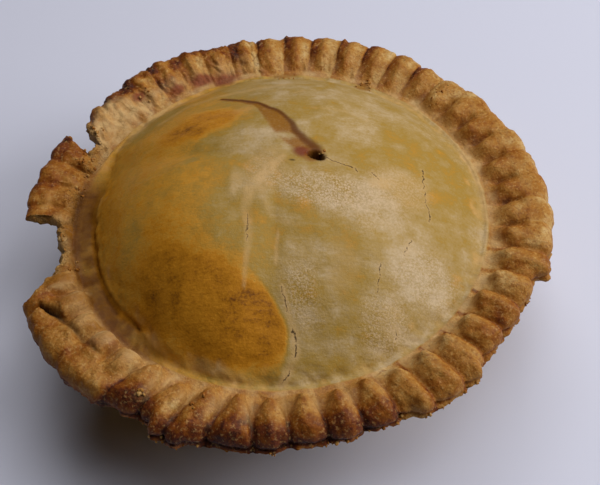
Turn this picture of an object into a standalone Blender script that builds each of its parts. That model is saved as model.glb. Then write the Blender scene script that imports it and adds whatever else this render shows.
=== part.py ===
"""A whole baked pork pie with a domed lid and a wide finger-crimped rim.

One closed solid. Sizes are in millimetres here and become metres when the mesh is made.
The pie stands on its flat base at z = 0, with its axis on Z and its broken rim towards -X.
Angles are in degrees, counter-clockwise from +X seen from above.
"""
import bpy
import numpy as np

MM = 0.001

# Driving sizes of the case
BASE_RADIUS = 60.0
WALL_TOP_RADIUS = 72.0
BASE_EDGE_ROUNDING = 4.0
RIM_RADIUS = 89.4
RIM_EDGE_HEIGHT = 45.0
RIM_UNDERSIDE_HEIGHT = 40.6
RIM_FILLET = 3.0
LEAST_FILLET = 0.4

# Driving sizes of the lid
LID_FOOT_RADIUS = 67.0
LID_RISE = 26.5
LID_FULLNESS = 2.25
VALLEY_HEIGHT = 46.0
CRIMP_TOE_RADIUS = 70.0
NEAR_SIDE_SPREAD = 1.6
NEAR_SIDE_ANGLE = 275.0

# The finger crimps, evenly counted round the rim and slightly crowded towards the near side
CRIMP_COUNT = 49
CRIMP_PITCH = 360.0 / CRIMP_COUNT
FIRST_CREST_ANGLE = 268.1
CRIMP_CROWDING = 0.85
CRIMP_GROOVE_HEIGHT = 1.3
CRIMP_LOBE_HEIGHT = 4.6
CRIMP_SKEW = 1.15
CRIMP_BLUNTNESS = 0.55
CRIMP_SCALLOP = 0.8
NEAR_SCALLOP = (240.0, 345.0, 0.8)
NEAR_SCALLOP_SOFTNESS = 8.0
SCALLOP_MIDDLE = 0.7
LOBE_RISE_SHARE = 0.22
LOBE_FALL_START = 0.6
LOBE_FALL = 0.45
FLOOR_RISE_SHARE = 0.25
SLANT_RADIUS = 80.0
SLANT_SPAN = 18.0
SLANT_SOFTNESS = 9.0

# How unlike each other the crimps are: share of height, and shifts of their two ends
PLUMPNESS_RANGE = (0.84, 1.14)
TIP_SHIFT = 1.2
END_SHIFT = 0.6
CHANCE_SEED = 7

# The rounded outer edge, and the blunt face where the rim has broken away
EDGE_ROUNDING = 4.6
EDGE_UNDERCUT = 3.0
LEAST_EDGE_ABOVE_UNDERSIDE = 1.6
BROKEN_EDGE_ROUNDING = 0.9
BREAK_BLEND = 2.0
BREAK_RAGGEDNESS = 0.5

# Where the rim is thinner from below: start, stop and how far its underside is raised
UNDERSIDE_RAISES = (
    (153.0, 182.0, 4.6),
    (100.0, 147.0, 1.4),
)
UNDERSIDE_SOFTNESS = 2.0

# The small hole that let the steam out
STEAM_HOLE_CENTRE = (12.6, 2.4)
STEAM_HOLE_RADIUS = 2.1
STEAM_HOLE_FOOT_RADIUS = 1.3
STEAM_HOLE_TOP = 75.0
STEAM_HOLE_DEPTH = 9.0

# Gentle swellings and hollows of the lid: x, y, reach and height
LID_SWELLINGS = (
    (-34.0, -24.0, 26.0, 1.3),
    (-8.5, -26.0, 11.0, -0.7),
    (26.0, -34.0, 24.0, 0.8),
    (34.0, 18.0, 26.0, -0.7),
    (-16.0, 34.0, 20.0, -1.0),
    (8.0, -56.0, 14.0, -0.8),
)
SWELLING_CORE = 0.6
SWELLING_END_SHARE = 0.12

# Stretches where the rim stands in or out of its circle: start, stop and amount
RIM_STEPS = (
    (16.0, 23.0, -1.0),
    (25.0, 37.0, -1.9),
    (39.5, 44.5, -3.2),
    (46.5, 51.5, -3.4),
    (53.0, 62.0, -2.1),
    (64.0, 73.0, -2.0),
    (76.5, 81.0, -2.4),
    (83.0, 88.0, -2.7),
    (91.0, 98.5, -3.4),
    (101.0, 109.0, -3.0),
    (111.0, 131.0, -0.8),
    (134.0, 139.5, -3.2),
    (141.5, 148.0, -4.8),
    (150.0, 181.0, -3.1),
    (200.0, 210.0, 0.6),
    (212.0, 232.5, 1.6),
    (235.5, 244.0, -1.5),
    (246.0, 250.5, 2.0),
    (252.5, 262.0, -0.2),
    (271.0, 284.0, -1.4),
    (286.0, 297.0, -2.3),
    (299.0, 312.5, -0.2),
    (314.5, 340.0, -3.1),
    (342.0, 358.0, 0.5),
)
RIM_STEP_SOFTNESS = 2.0

# The broken stretch on the left, as angle and radius: a narrow gap, a tab left standing, a wide notch
BROKEN_RIM = (
    (149.2, 92.0),
    (149.5, 76.5),
    (150.0, 73.0),
    (151.8, 74.0),
    (155.4, 74.6),
    (156.0, 80.0),
    (156.4, 92.0),
    (180.2, 92.0),
    (180.6, 83.8),
    (180.9, 78.0),
    (182.1, 75.4),
    (184.9, 74.5),
    (188.3, 73.9),
    (191.8, 73.4),
    (194.1, 74.8),
    (196.6, 75.4),
    (198.6, 77.6),
    (200.5, 80.8),
    (203.0, 84.5),
    (204.0, 88.0),
    (204.8, 92.0),
)

# Crimps that lean: start, stop and lean in degrees from the inner end to the outer end
CRIMP_SLANTS = (
    (236.0, 256.0, -3.0),
    (264.0, 322.0, 1.4),
    (147.0, 157.0, -6.4),
)

# How strongly the fingers pressed: start, stop and lobe height beside a full lobe
CRIMP_STRENGTHS = (
    (262.0, 346.0, 1.08),
    (348.0, 48.0, 0.86),
    (100.0, 147.0, 0.62),
    (155.0, 181.0, 0.70),
)
STRENGTH_SOFTNESS = 5.0

# Stretches where the crimps stop half way out and a smooth band lies outside them
SMOOTH_BANDS = (
    (199.0, 234.0, 1.0),
    (349.0, 40.0, 0.85),
)
SMOOTH_BAND_START = 0.42
SMOOTH_BAND_SOFTNESS = 0.2
SMOOTH_BAND_HEIGHT = 2.7
SMOOTH_BAND_END_SOFTNESS = 4.0
LOBE_LOSS_IN_BAND = 0.92

# The lengthwise crack in the smooth band: start, stop, radius and depth
BAND_CRACK = (203.5, 219.0, 84.6, 1.8)
BAND_CRACK_DRIFT = -0.42
BAND_CRACK_WIDTH = 1.2
BAND_CRACK_END_SOFTNESS = 2.0

# Where the lid bulges over its foot, and how much fuller it is there
LID_BULGE = (183.0, 250.0, 0.9)
LID_BULGE_SOFTNESS = 20.0

# Where the lid's foot stands in from the crimps and leaves a wider valley
LID_FOOT_SET_BACK = (165.0, 224.0, -3.6)
LID_FOOT_SOFTNESS = 14.0

# The mesh: places across one crimp, across the rim, round the edge and over the lid
CRIMP_PHASES = (0.0, 0.12, 0.36, 0.64, 0.88)
RIM_PLACES = (0.0, 0.10, 0.20, 0.34, 0.52, 0.72)
EDGE_ANGLES = (0.0, 32.0, 62.0, 90.0)
UNDERCUT_ANGLES = (45.0, 90.0)
LID_RING_SHARES = (0.08, 0.2, 0.34, 0.48, 0.61, 0.73, 0.83, 0.91, 0.965)
LID_RING_COUNTS = (14, 35, 49, 49, 98, 98, 98, 147, 245)
WALL_HEIGHT_SHARES = (0.66, 0.33)
WALL_COUNT = 98
BASE_EDGE_ANGLES = (90.0, 45.0, 0.0)
ROUND_COUNT = CRIMP_COUNT * len(CRIMP_PHASES)

CRUST_COLOUR = (0.36, 0.19, 0.06, 1.0)
CRUST_ROUGHNESS = 0.55


def ease(x):
    """A smooth step from 0 to 1."""
    x = np.clip(x, 0.0, 1.0)
    return x * x * (3.0 - 2.0 * x)


def stretch(angle, start, stop, softness):
    """1 between two angles going counter-clockwise, easing to 0 over the softness outside them."""
    middle = start + ((stop - start) % 360.0) / 2.0
    half = ((stop - start) % 360.0) / 2.0
    away = np.abs((angle - middle + 180.0) % 360.0 - 180.0)
    return 1.0 - ease((away - half) / softness)


def crimp_columns():
    """The angle and the crimp phase of every column of the rim, groove at phase 0 and crest at 0.5."""
    phases = np.tile(CRIMP_PHASES, CRIMP_COUNT)
    numbers = np.repeat(np.arange(CRIMP_COUNT), len(CRIMP_PHASES))
    even = FIRST_CREST_ANGLE + (numbers + phases - 0.5) * CRIMP_PITCH
    angle = even + CRIMP_CROWDING * (1.0 + np.sin(np.radians(even)))
    return angle % 360.0, phases, numbers


def near_side_spread(angle):
    """How much wider the lid and the crimps' inner ends lie towards the near side."""
    return NEAR_SIDE_SPREAD * np.cos(np.radians(angle - NEAR_SIDE_ANGLE))


def lid_foot(angle):
    """The radius of the lid's foot."""
    start, stop, amount = LID_FOOT_SET_BACK
    set_back = amount * stretch(angle, start, stop, LID_FOOT_SOFTNESS)
    return LID_FOOT_RADIUS + near_side_spread(angle) + set_back


def lid_top(x, y):
    """The lid's height: a full dome that ends in the valley, with gentle swellings."""
    radius = np.hypot(x, y)
    angle = np.degrees(np.arctan2(y, x))
    start, stop, fuller = LID_BULGE
    fullness = LID_FULLNESS + fuller * stretch(angle, start, stop, LID_BULGE_SOFTNESS)
    share = np.clip(radius / lid_foot(angle), 0.0, 1.0)
    height = VALLEY_HEIGHT + LID_RISE * (1.0 - share ** fullness)
    for centre_x, centre_y, reach, swelling in LID_SWELLINGS:
        nearness = np.exp(-((x - centre_x) ** 2 + (y - centre_y) ** 2) / (reach * SWELLING_CORE) ** 2)
        height = height + swelling * nearness * ease((1.0 - share) / SWELLING_END_SHARE)
    return height


def rim_outline(angle):
    """The rim's own outer radius before anything broke off."""
    radius = np.full_like(angle, RIM_RADIUS)
    for start, stop, amount in RIM_STEPS:
        radius = radius + amount * stretch(angle, start, stop, RIM_STEP_SOFTNESS)
    return radius


def broken_outline(angle, ragged):
    """The radius at which the broken rim ends, far outside where it is whole."""
    angles, radii = np.array(BROKEN_RIM).T
    inside = (angle > angles[0]) & (angle < angles[-1])
    cut = np.interp(angle, angles, radii) + BREAK_RAGGEDNESS * ragged
    return np.where(inside, cut, 2.0 * RIM_RADIUS)


def underside_height(angle):
    """The height of the rim's underside."""
    height = np.full_like(angle, RIM_UNDERSIDE_HEIGHT)
    for start, stop, raised in UNDERSIDE_RAISES:
        height = height + raised * stretch(angle, start, stop, UNDERSIDE_SOFTNESS)
    return height


def slant(angle):
    """How far the crimps lean at an angle."""
    total = np.zeros_like(angle)
    for start, stop, lean in CRIMP_SLANTS:
        total = total + lean * stretch(angle, start, stop, SLANT_SOFTNESS)
    return total


def lobe_shape(phase):
    """The cross-section of one crimp: a blunt lobe between two narrow grooves."""
    return np.sin(np.pi * phase ** CRIMP_SKEW) ** CRIMP_BLUNTNESS


def rim_top(place, angle, phase, plumpness):
    """The height of the rim above the valley, place 0 at its inner end and 1 at its natural edge."""
    strength = plumpness.copy()
    for start, stop, amount in CRIMP_STRENGTHS:
        strength = strength * (1.0 + (amount - 1.0) * stretch(angle, start, stop, STRENGTH_SOFTNESS))
    outer = ease((place - SMOOTH_BAND_START) / SMOOTH_BAND_SOFTNESS)
    band = np.zeros_like(angle)
    for start, stop, amount in SMOOTH_BANDS:
        band = band + amount * stretch(angle, start, stop, SMOOTH_BAND_END_SOFTNESS)
    fall = LOBE_FALL * ease((place - LOBE_FALL_START) / (1.0 - LOBE_FALL_START))
    swell = ease(place / LOBE_RISE_SHARE) * (1.0 - fall)
    floor = CRIMP_GROOVE_HEIGHT * ease(place / FLOOR_RISE_SHARE) + SMOOTH_BAND_HEIGHT * band * outer
    lobe = (CRIMP_LOBE_HEIGHT - CRIMP_GROOVE_HEIGHT) * strength * swell
    return VALLEY_HEIGHT + floor + lobe * lobe_shape(phase) * (1.0 - LOBE_LOSS_IN_BAND * band * outer)


def crack_depth(radius, angle):
    """The depth of the lengthwise crack in the smooth band."""
    start, stop, crack_radius, depth = BAND_CRACK
    line = crack_radius + BAND_CRACK_DRIFT * (angle - start)
    across = np.exp(-((radius - line) / BAND_CRACK_WIDTH) ** 2)
    return depth * across * stretch(angle, start, stop, BAND_CRACK_END_SOFTNESS)


def ring(radius, angle, height):
    """The points of one ring, in metres."""
    turn = np.radians(angle)
    height = np.broadcast_to(height, np.shape(radius))
    return np.stack([radius * np.cos(turn), radius * np.sin(turn), height], axis=1) * MM


def even_ring(radius, height, count):
    """A plain round ring that starts at the first column's angle."""
    start = crimp_columns()[0][0]
    return ring(np.full(count, radius), start + np.arange(count) * 360.0 / count, height)


def lid_rings():
    """The rings of the lid, from near the middle out to its foot."""
    rings = []
    start = crimp_columns()[0][0]
    for share, count in zip(LID_RING_SHARES, LID_RING_COUNTS):
        angle = start + np.arange(count) * 360.0 / count
        if count == ROUND_COUNT:
            angle = crimp_columns()[0]
        radius = share * lid_foot(angle)
        turn = np.radians(angle)
        height = lid_top(radius * np.cos(turn), radius * np.sin(turn))
        rings.append(ring(radius, angle, height))
    return rings


def rim_rings():
    """The rings of the crimped rim, over its top, round its edge and along its underside."""
    chance = np.random.default_rng(CHANCE_SEED)
    column, phase, number = crimp_columns()
    plumpness = chance.uniform(PLUMPNESS_RANGE[0], PLUMPNESS_RANGE[1], CRIMP_COUNT)[number]
    tip_shift = chance.uniform(-TIP_SHIFT, TIP_SHIFT, CRIMP_COUNT)[number]
    end_shift = chance.uniform(-END_SHIFT, END_SHIFT, CRIMP_COUNT)[number]
    ragged = chance.uniform(-1.0, 1.0, len(column))
    lean = slant(column)
    lobe = lobe_shape(phase)

    toe = CRIMP_TOE_RADIUS + near_side_spread(column) + tip_shift * lobe
    edge_angle = column + lean * (RIM_RADIUS - SLANT_RADIUS) / SLANT_SPAN
    start, stop, deeper = NEAR_SCALLOP
    scallop = CRIMP_SCALLOP + deeper * stretch(column, start, stop, NEAR_SCALLOP_SOFTNESS)
    natural = rim_outline(edge_angle) + scallop * (lobe - SCALLOP_MIDDLE) + end_shift * lobe
    cut = broken_outline(column, ragged)
    end = np.minimum(natural, cut)
    broken = ease((natural - cut) / BREAK_BLEND)

    def turned(radius):
        return column + lean * (radius - SLANT_RADIUS) / SLANT_SPAN

    def top(radius):
        place = np.clip((radius - toe) / (natural - toe), 0.0, 1.0)
        return rim_top(place, column, phase, plumpness) - crack_depth(radius, column)

    rounding = EDGE_ROUNDING + (BROKEN_EDGE_ROUNDING - EDGE_ROUNDING) * broken
    inner_end = end - rounding
    shoulder = top(inner_end)
    underside = underside_height(column)
    edge_height = np.maximum(RIM_EDGE_HEIGHT, underside + LEAST_EDGE_ABOVE_UNDERSIDE)
    middle = edge_height + ((shoulder + underside) / 2.0 - edge_height) * broken
    undercut = EDGE_UNDERCUT + (BROKEN_EDGE_ROUNDING - EDGE_UNDERCUT) * broken

    rings = []
    for place in RIM_PLACES:
        radius = toe + place * (inner_end - toe)
        rings.append(ring(radius, turned(radius), top(radius)))
    for edge_turn in np.radians(EDGE_ANGLES):
        radius = inner_end + rounding * np.sin(edge_turn)
        height = middle + (shoulder - middle) * np.cos(edge_turn)
        rings.append(ring(radius, turned(radius), height))
    for edge_turn in np.radians(UNDERCUT_ANGLES):
        radius = end - undercut * (1.0 - np.cos(edge_turn))
        height = middle - (middle - underside) * np.sin(edge_turn)
        rings.append(ring(radius, turned(radius), height))
    fillet = np.clip(end - undercut - WALL_TOP_RADIUS, LEAST_FILLET, RIM_FILLET)
    radius = WALL_TOP_RADIUS + fillet
    rings.append(ring(radius, turned(radius), underside))
    return rings


def wall_rings():
    """The rings of the tapered case, from under the rim down to its rounded foot."""
    rings = []
    foot = BASE_EDGE_ROUNDING
    wall_height = RIM_UNDERSIDE_HEIGHT - RIM_FILLET
    rings.append(even_ring(WALL_TOP_RADIUS, wall_height, WALL_COUNT))
    for share in WALL_HEIGHT_SHARES:
        radius = BASE_RADIUS + (WALL_TOP_RADIUS - BASE_RADIUS) * share
        rings.append(even_ring(radius, foot + (wall_height - foot) * share, WALL_COUNT))
    for edge_turn in np.radians(BASE_EDGE_ANGLES):
        radius = BASE_RADIUS - foot * (1.0 - np.sin(edge_turn))
        rings.append(even_ring(radius, foot * (1.0 - np.cos(edge_turn)), WALL_COUNT))
    return rings


def join_rings(first, second, faces):
    """Fill the band between an upper and a lower ring of vertex numbers, whatever their counts."""
    i = 0
    j = 0
    while i < len(first) or j < len(second):
        a = first[i % len(first)]
        b = second[j % len(second)]
        if j * len(first) <= i * len(second) and j < len(second):
            faces.append((a, b, second[(j + 1) % len(second)]))
            j += 1
        else:
            faces.append((a, b, first[(i + 1) % len(first)]))
            i += 1


def pie_mesh():
    """The whole closed skin of the pie."""
    rings = lid_rings() + rim_rings() + wall_rings()
    peak = [[0.0, 0.0, float(lid_top(np.zeros(1), np.zeros(1))[0]) * MM]]
    points = np.concatenate([np.array(peak)] + rings)
    faces = []
    numbers = []
    first_number = 1
    for points_of_ring in rings:
        numbers.append(list(range(first_number, first_number + len(points_of_ring))))
        first_number += len(points_of_ring)
    top_ring = numbers[0]
    for k, number in enumerate(top_ring):
        faces.append((0, number, top_ring[(k + 1) % len(top_ring)]))
    for upper, lower in zip(numbers[:-1], numbers[1:]):
        join_rings(upper, lower, faces)
    faces.append(tuple(reversed(numbers[-1])))
    mesh = bpy.data.meshes.new("pork_pie")
    mesh.from_pydata([tuple(point) for point in points], [], faces)
    mesh.validate()
    mesh.update()
    return mesh


def crust_material():
    """The baked crust's plain colour."""
    material = bpy.data.materials.new("golden_crust")
    material.use_nodes = True
    shader = material.node_tree.nodes["Principled BSDF"]
    shader.inputs["Base Color"].default_value = CRUST_COLOUR
    shader.inputs["Roughness"].default_value = CRUST_ROUGHNESS
    shader.inputs["Metallic"].default_value = 0.0
    return material


def cut_steam_hole(pie):
    """Cut a small tapered pit into the lid."""
    middle_height = (STEAM_HOLE_TOP - STEAM_HOLE_DEPTH / 2.0) * MM
    bpy.ops.mesh.primitive_cone_add(
        vertices=12,
        radius1=STEAM_HOLE_FOOT_RADIUS * MM,
        radius2=STEAM_HOLE_RADIUS * MM,
        depth=STEAM_HOLE_DEPTH * MM,
        location=(STEAM_HOLE_CENTRE[0] * MM, STEAM_HOLE_CENTRE[1] * MM, middle_height),
    )
    cutter = bpy.context.active_object
    cutter.name = "steam_hole_cutter"
    cutter.hide_render = True
    cutter.display_type = "WIRE"
    cut = pie.modifiers.new("steam_hole", "BOOLEAN")
    cut.operation = "DIFFERENCE"
    cut.object = cutter
    cut.solver = "EXACT"


def main():
    """Clear the scene and make the pie."""
    for old in list(bpy.data.objects):
        bpy.data.objects.remove(old, do_unlink=True)
    mesh = pie_mesh()
    mesh.materials.append(crust_material())
    mesh.shade_smooth()
    pie = bpy.data.objects.new("pork_pie", mesh)
    bpy.context.scene.collection.objects.link(pie)
    cut_steam_hole(pie)


main()
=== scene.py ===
"""The looks of a whole pork pie: its glazed, cracked lid and its finger-crimped, partly broken rim.

The crust is one skin of rings worked out with numpy in millimetres and made into a mesh in metres.
Angles are in degrees, counter-clockwise from +X seen from above. Marks such as browning, flour and
glaze, with painted shade, shadow lines and glints, are worked out on the same skin and kept as
attributes that the crust's material reads.
"""
import bpy
import numpy as np
from mathutils import Matrix, Vector


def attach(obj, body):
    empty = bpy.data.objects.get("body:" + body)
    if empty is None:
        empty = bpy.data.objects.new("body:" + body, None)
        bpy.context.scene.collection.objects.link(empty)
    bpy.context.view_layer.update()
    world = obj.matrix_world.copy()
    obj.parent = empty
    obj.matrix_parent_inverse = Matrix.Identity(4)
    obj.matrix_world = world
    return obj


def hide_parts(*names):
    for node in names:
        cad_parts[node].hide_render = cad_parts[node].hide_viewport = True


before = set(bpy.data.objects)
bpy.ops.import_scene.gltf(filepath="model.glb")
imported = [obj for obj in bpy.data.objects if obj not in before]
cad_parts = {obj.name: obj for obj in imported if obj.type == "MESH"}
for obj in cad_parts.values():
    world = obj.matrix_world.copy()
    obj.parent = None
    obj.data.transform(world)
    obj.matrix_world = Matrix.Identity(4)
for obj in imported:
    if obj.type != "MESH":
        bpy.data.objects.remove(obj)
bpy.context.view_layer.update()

MM = 0.001

# The case, as in the solid
BASE_RADIUS = 60.0
WALL_TOP_RADIUS = 72.0
BASE_EDGE_ROUNDING = 4.0
RIM_RADIUS = 89.4
RIM_EDGE_HEIGHT = 45.0
RIM_UNDERSIDE_HEIGHT = 40.8
RIM_FILLET = 3.0
LEAST_FILLET = 0.4
UNDERSIDE_RAISES = (
    (153.0, 182.0, 4.6),
    (100.0, 147.0, 1.4),
)
UNDERSIDE_SOFTNESS = 2.0

# The lid
LID_FOOT_RADIUS = 67.0
LID_RISE = 26.5
LID_FULLNESS = 2.25
VALLEY_HEIGHT = 46.0
CRIMP_TOE_RADIUS = 70.0
NEAR_SIDE_SPREAD = 1.6
NEAR_SIDE_ANGLE = 275.0
LID_BULGE = (183.0, 250.0, 0.9)
LID_FOOT_SET_BACK = (165.0, 224.0, -3.6)
LID_SWELLINGS = (
    (-34.0, -24.0, 26.0, 1.3),
    (-8.5, -26.0, 11.0, -0.7),
    (26.0, -34.0, 24.0, 0.8),
    (34.0, 18.0, 26.0, -0.7),
    (-16.0, 34.0, 20.0, -1.0),
    (8.0, -56.0, 14.0, -0.8),
)
LID_LIP = (344.0, 44.0, 1.3, 0.45)
LID_BULGE_SOFTNESS = 20.0
LID_FOOT_SOFTNESS = 14.0
SWELLING_CORE = 0.6
SWELLING_END_SHARE = 0.12
LID_LIP_WIDTH = 0.9
LID_LIP_SOFTNESS = 12.0
LID_EDGE_INSET = 0.6
LID_CREASE = (
    (182.0, 63.2),
    (192.0, 63.3),
    (200.0, 63.6),
    (207.0, 64.3),
    (213.0, 64.8),
    (218.0, 64.7),
    (223.0, 64.3),
    (228.0, 63.8),
    (234.0, 62.8),
    (241.0, 62.0),
)
CREASE_DEPTH = 1.5
CREASE_WIDTH = 0.8
CREASE_ENDS = (6.0, 18.0, 12.0)

# The finger crimps
CRIMP_COUNT = 49
CRIMP_PITCH = 360.0 / CRIMP_COUNT
FIRST_CREST_ANGLE = 268.1
CRIMP_CROWDING = 0.85
CRIMP_GROOVE_HEIGHT = 1.3
CRIMP_LOBE_HEIGHT = 4.6
CRIMP_SKEW = 1.15
CRIMP_BLUNTNESS = 0.55
TIP_POINTEDNESS = 1.5
TIP_SHARE = 0.4
SQUARE_TIPS = (196.0, 238.0)
SQUARE_TIPS_SOFTNESS = 6.0
PLUMPNESS_RANGE = (0.84, 1.14)
TIP_SHIFT = 1.2
END_SHIFT = 0.6
SKEW_CHANCE = 0.12
CRIMP_SCALLOP = 0.8
SCALLOP_MIDDLE = 0.7
NEAR_SCALLOP = (240.0, 345.0, 0.8)
NEAR_SCALLOP_SOFTNESS = 8.0
LOBE_FALL_START = 0.6
LOBE_FALL = 0.45
FLOOR_RISE_SHARE = 0.25
SLANT_RADIUS = 80.0
SLANT_SPAN = 18.0
SLANT_SOFTNESS = 9.0
CRIMP_SLANTS = (
    (236.0, 256.0, -3.0),
    (264.0, 322.0, 1.4),
    (147.0, 157.0, -6.4),
)
STRENGTH_SOFTNESS = 5.0
CRIMP_STRENGTHS = (
    (201.0, 236.0, 1.20),
    (262.0, 346.0, 1.12),
    (348.0, 48.0, 0.86),
    (100.0, 147.0, 0.62),
    (155.0, 181.0, 0.70),
)
ROPE_SOFTNESS = 8.0
ROPE_SKEWS = (
    (288.0, 346.0, 0.35),
)
PETAL_LEAST = 0.6
PETAL_SOFTNESS = 6.0
PETAL_LENGTHS = (
    (238.0, 291.0, 8.0),
    (296.0, 346.0, 3.2),
    (50.0, 147.0, 1.5),
)
INNER_RAMP = 0.22
INNER_RAMP_SOFTNESS = 8.0
INNER_RAMPS = (
    (200.0, 238.0, -0.13),
    (346.0, 48.0, 0.10),
    (50.0, 150.0, 0.30),
)
SMOOTH_BANDS = (
    (199.0, 234.0, 1.0),
    (349.0, 40.0, 0.85),
    (46.0, 98.0, 0.40),
    (101.0, 147.0, 0.55),
    (154.0, 181.0, 0.55),
)
SMOOTH_BAND_START = 0.42
SMOOTH_BAND_SOFTNESS = 0.2
SMOOTH_BAND_HEIGHT = 2.7
SMOOTH_BAND_END_SOFTNESS = 4.0
LOBE_LOSS_IN_BAND = 0.92
BAND_CRACK = (
    (203.5, 88.5, 0.0),
    (205.5, 87.0, 3.2),
    (208.0, 84.2, 4.0),
    (211.0, 81.8, 3.0),
    (214.0, 80.7, 1.2),
    (218.0, 80.2, 1.7),
    (222.0, 80.0, 0.7),
    (225.0, 79.9, 1.5),
    (227.5, 79.8, 0.0),
)
BAND_CRACK_WIDTH = 1.1
FINGER_DENTS = (349.0, 40.0, 1.5)
FINGER_DENT_PLACE = (0.24, 0.13)
FINGER_DENT_SOFTNESS = 6.0
HALF_RIDGE_SOFTNESS = 5.0
HALF_RIDGE_RISE_SHARE = 0.3
HALF_RIDGES = (
    (100.0, 148.0, 0.30),
    (46.0, 98.0, 0.20),
)

# The rim's outer edge, and where it has broken away
EDGE_ROUNDING = 4.6
EDGE_UNDERCUT = 3.0
LEAST_EDGE_ABOVE_UNDERSIDE = 1.6
BROKEN_EDGE_ROUNDING = 0.9
BREAK_BLEND = 2.0
BREAK_RAGGEDNESS = (0.7, 3.0, 3, 11)
TORN_WIDTH = 3.5
RIM_STEP_SOFTNESS = 2.0
RIM_STEPS = (
    (16.0, 23.0, -1.0),
    (25.0, 37.0, -1.9),
    (39.5, 44.5, -3.2),
    (46.5, 51.5, -3.4),
    (53.0, 62.0, -2.1),
    (64.0, 73.0, -2.0),
    (76.5, 81.0, -2.4),
    (83.0, 88.0, -2.7),
    (91.0, 98.5, -3.4),
    (101.0, 109.0, -3.0),
    (111.0, 131.0, -0.8),
    (134.0, 139.5, -3.2),
    (141.5, 148.0, -4.8),
    (150.0, 181.0, -3.1),
    (200.0, 210.0, 0.6),
    (212.0, 232.5, 1.6),
    (235.5, 244.0, -1.5),
    (246.0, 250.5, 2.0),
    (252.5, 262.0, -0.2),
    (271.0, 284.0, -1.4),
    (286.0, 297.0, -2.3),
    (299.0, 312.5, -0.2),
    (314.5, 340.0, -3.1),
    (342.0, 358.0, 0.5),
)
BROKEN_RIM = (
    (149.2, 92.0),
    (149.5, 76.5),
    (150.0, 73.0),
    (151.8, 74.0),
    (155.4, 74.6),
    (156.0, 80.0),
    (156.4, 92.0),
    (180.2, 92.0),
    (180.6, 83.8),
    (180.9, 78.0),
    (182.1, 75.4),
    (184.9, 74.5),
    (188.3, 73.9),
    (191.8, 73.4),
    (194.1, 74.8),
    (196.6, 75.4),
    (198.6, 77.6),
    (200.5, 80.8),
    (203.0, 84.5),
    (204.0, 88.0),
    (204.8, 92.0),
)
SKIRTS = (
    (236.0, 348.0, 1.0),
    (40.0, 100.0, 0.5),
)
SKIRT_SOFTNESS = 5.0
SKIRT_DENT = 0.9
SKIRT_DENT_HEIGHT = 44.0
SKIRT_DENT_WIDTH = 0.6
SKIRT_LIP = 0.7
SKIRT_LIP_HEIGHT = 42.7
SKIRT_LIP_WIDTH = 0.9

# The steam hole: centre, half sizes and turn; its lip's and its wall's place and width are shares
STEAM_HOLE = (12.4, 1.9, 3.0, 1.7, 155.0)
STEAM_HOLE_DEPTH = 6.5
STEAM_HOLE_LIP = 0.12
STEAM_HOLE_LIP_PLACE = (1.35, 0.35)
STEAM_HOLE_WALL = (0.55, 0.5)

# The skin's rings: columns round the rim, and crowding of columns on the broken flanks
RIM_COLUMNS = 1000
FLANK_ANGLES = (149.45, 156.1, 180.7)
FLANK_CROWDING = 25.0
FLANK_REACH = 0.3
FINE_COLUMNS = 72001
TOE_RINGS = 4
RIM_RINGS = 30
EDGE_RINGS = 9
UNDERCUT_RINGS = 10
UNDERSIDE_RINGS = 4
LID_RINGS = 52
LID_RING_CROWDING = 1.3
MIDDLE_RINGS = 22
MIDDLE_RADIUS = 20.0
WALL_RINGS = 7
BASE_EDGE_RINGS = 4

# Fixed chance: the seed, the length of its table, and what spreads a lattice's cells over the table
CHANCE_SEED = 7
CHANCE_TABLE_SIZE = 8192
CELL_SPREAD = (73856093, 19349663, 83492791)
LATTICE_SHIFT = 1000.0

# What a point of the skin is part of
ON_LID, ON_RIM, ON_EDGE, ON_UNDERSIDE, ON_WALL = range(5)
FACTS = ("kind", "column", "place", "phase", "crimp", "broken", "torn_edge")


def ease(x):
    """A smooth step from 0 to 1: three x squared less two x cubed, x held between 0 and 1."""
    x = np.clip(x, 0.0, 1.0)
    return x * x * (3.0 - 2.0 * x)


def bell(x):
    """A bell curve: e to the power of minus x squared."""
    return np.exp(-x * x)


def stretch(angle, start, stop, softness):
    """1 between two angles going counter-clockwise, easing to 0 over the softness outside them."""
    half = ((stop - start) % 360.0) / 2.0
    away = np.abs((angle - start - half + 180.0) % 360.0 - 180.0)
    return 1.0 - ease((away - half) / softness)


def stretches(angle, rows, softness):
    """The sum of amounts that each hold over a stretch of angles."""
    total = np.zeros_like(angle)
    for start, stop, amount in rows:
        total = total + amount * stretch(angle, start, stop, softness)
    return total


def chance_at(cells, seed):
    """A fixed number from -1 to 1 for each whole-numbered cell, from a seeded table."""
    table = np.random.default_rng(seed).uniform(-1.0, 1.0, CHANCE_TABLE_SIZE)
    a, b, c = CELL_SPREAD
    spread = cells[..., 0] * a ^ cells[..., 1] * b ^ cells[..., 2] * c
    return table[spread % CHANCE_TABLE_SIZE]


def lumps(points, size, seed):
    """Smooth random lumps of a given size: corner values of a cubic lattice, eased between."""
    place = points / size + LATTICE_SHIFT
    cell = np.floor(place).astype(np.int64)
    share = ease(place - cell)
    total = np.zeros(len(points))
    for corner in range(8):
        step = np.array([corner & 1, (corner >> 1) & 1, (corner >> 2) & 1])
        weight = np.prod(np.where(step == 1, share, 1.0 - share), axis=1)
        total += weight * chance_at(cell + step, seed)
    return total


def rough(points, size, layers, seed):
    """Layered lumps, each layer half the size and half the height of the one before."""
    total = np.zeros(len(points))
    for layer in range(layers):
        total += lumps(points, size / 2.0 ** layer, seed + layer) / 2.0 ** layer
    return total


def relief(points, row):
    """Layered lumps by height, size of the largest, number of layers and seed."""
    height, size, layers, seed = row
    return height * rough(points, size, layers, seed)


def near_side_spread(angle):
    """How much wider the lid and the crimps' inner ends lie towards the near side: a cosine."""
    return NEAR_SIDE_SPREAD * np.cos(np.radians(angle - NEAR_SIDE_ANGLE))


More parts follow.
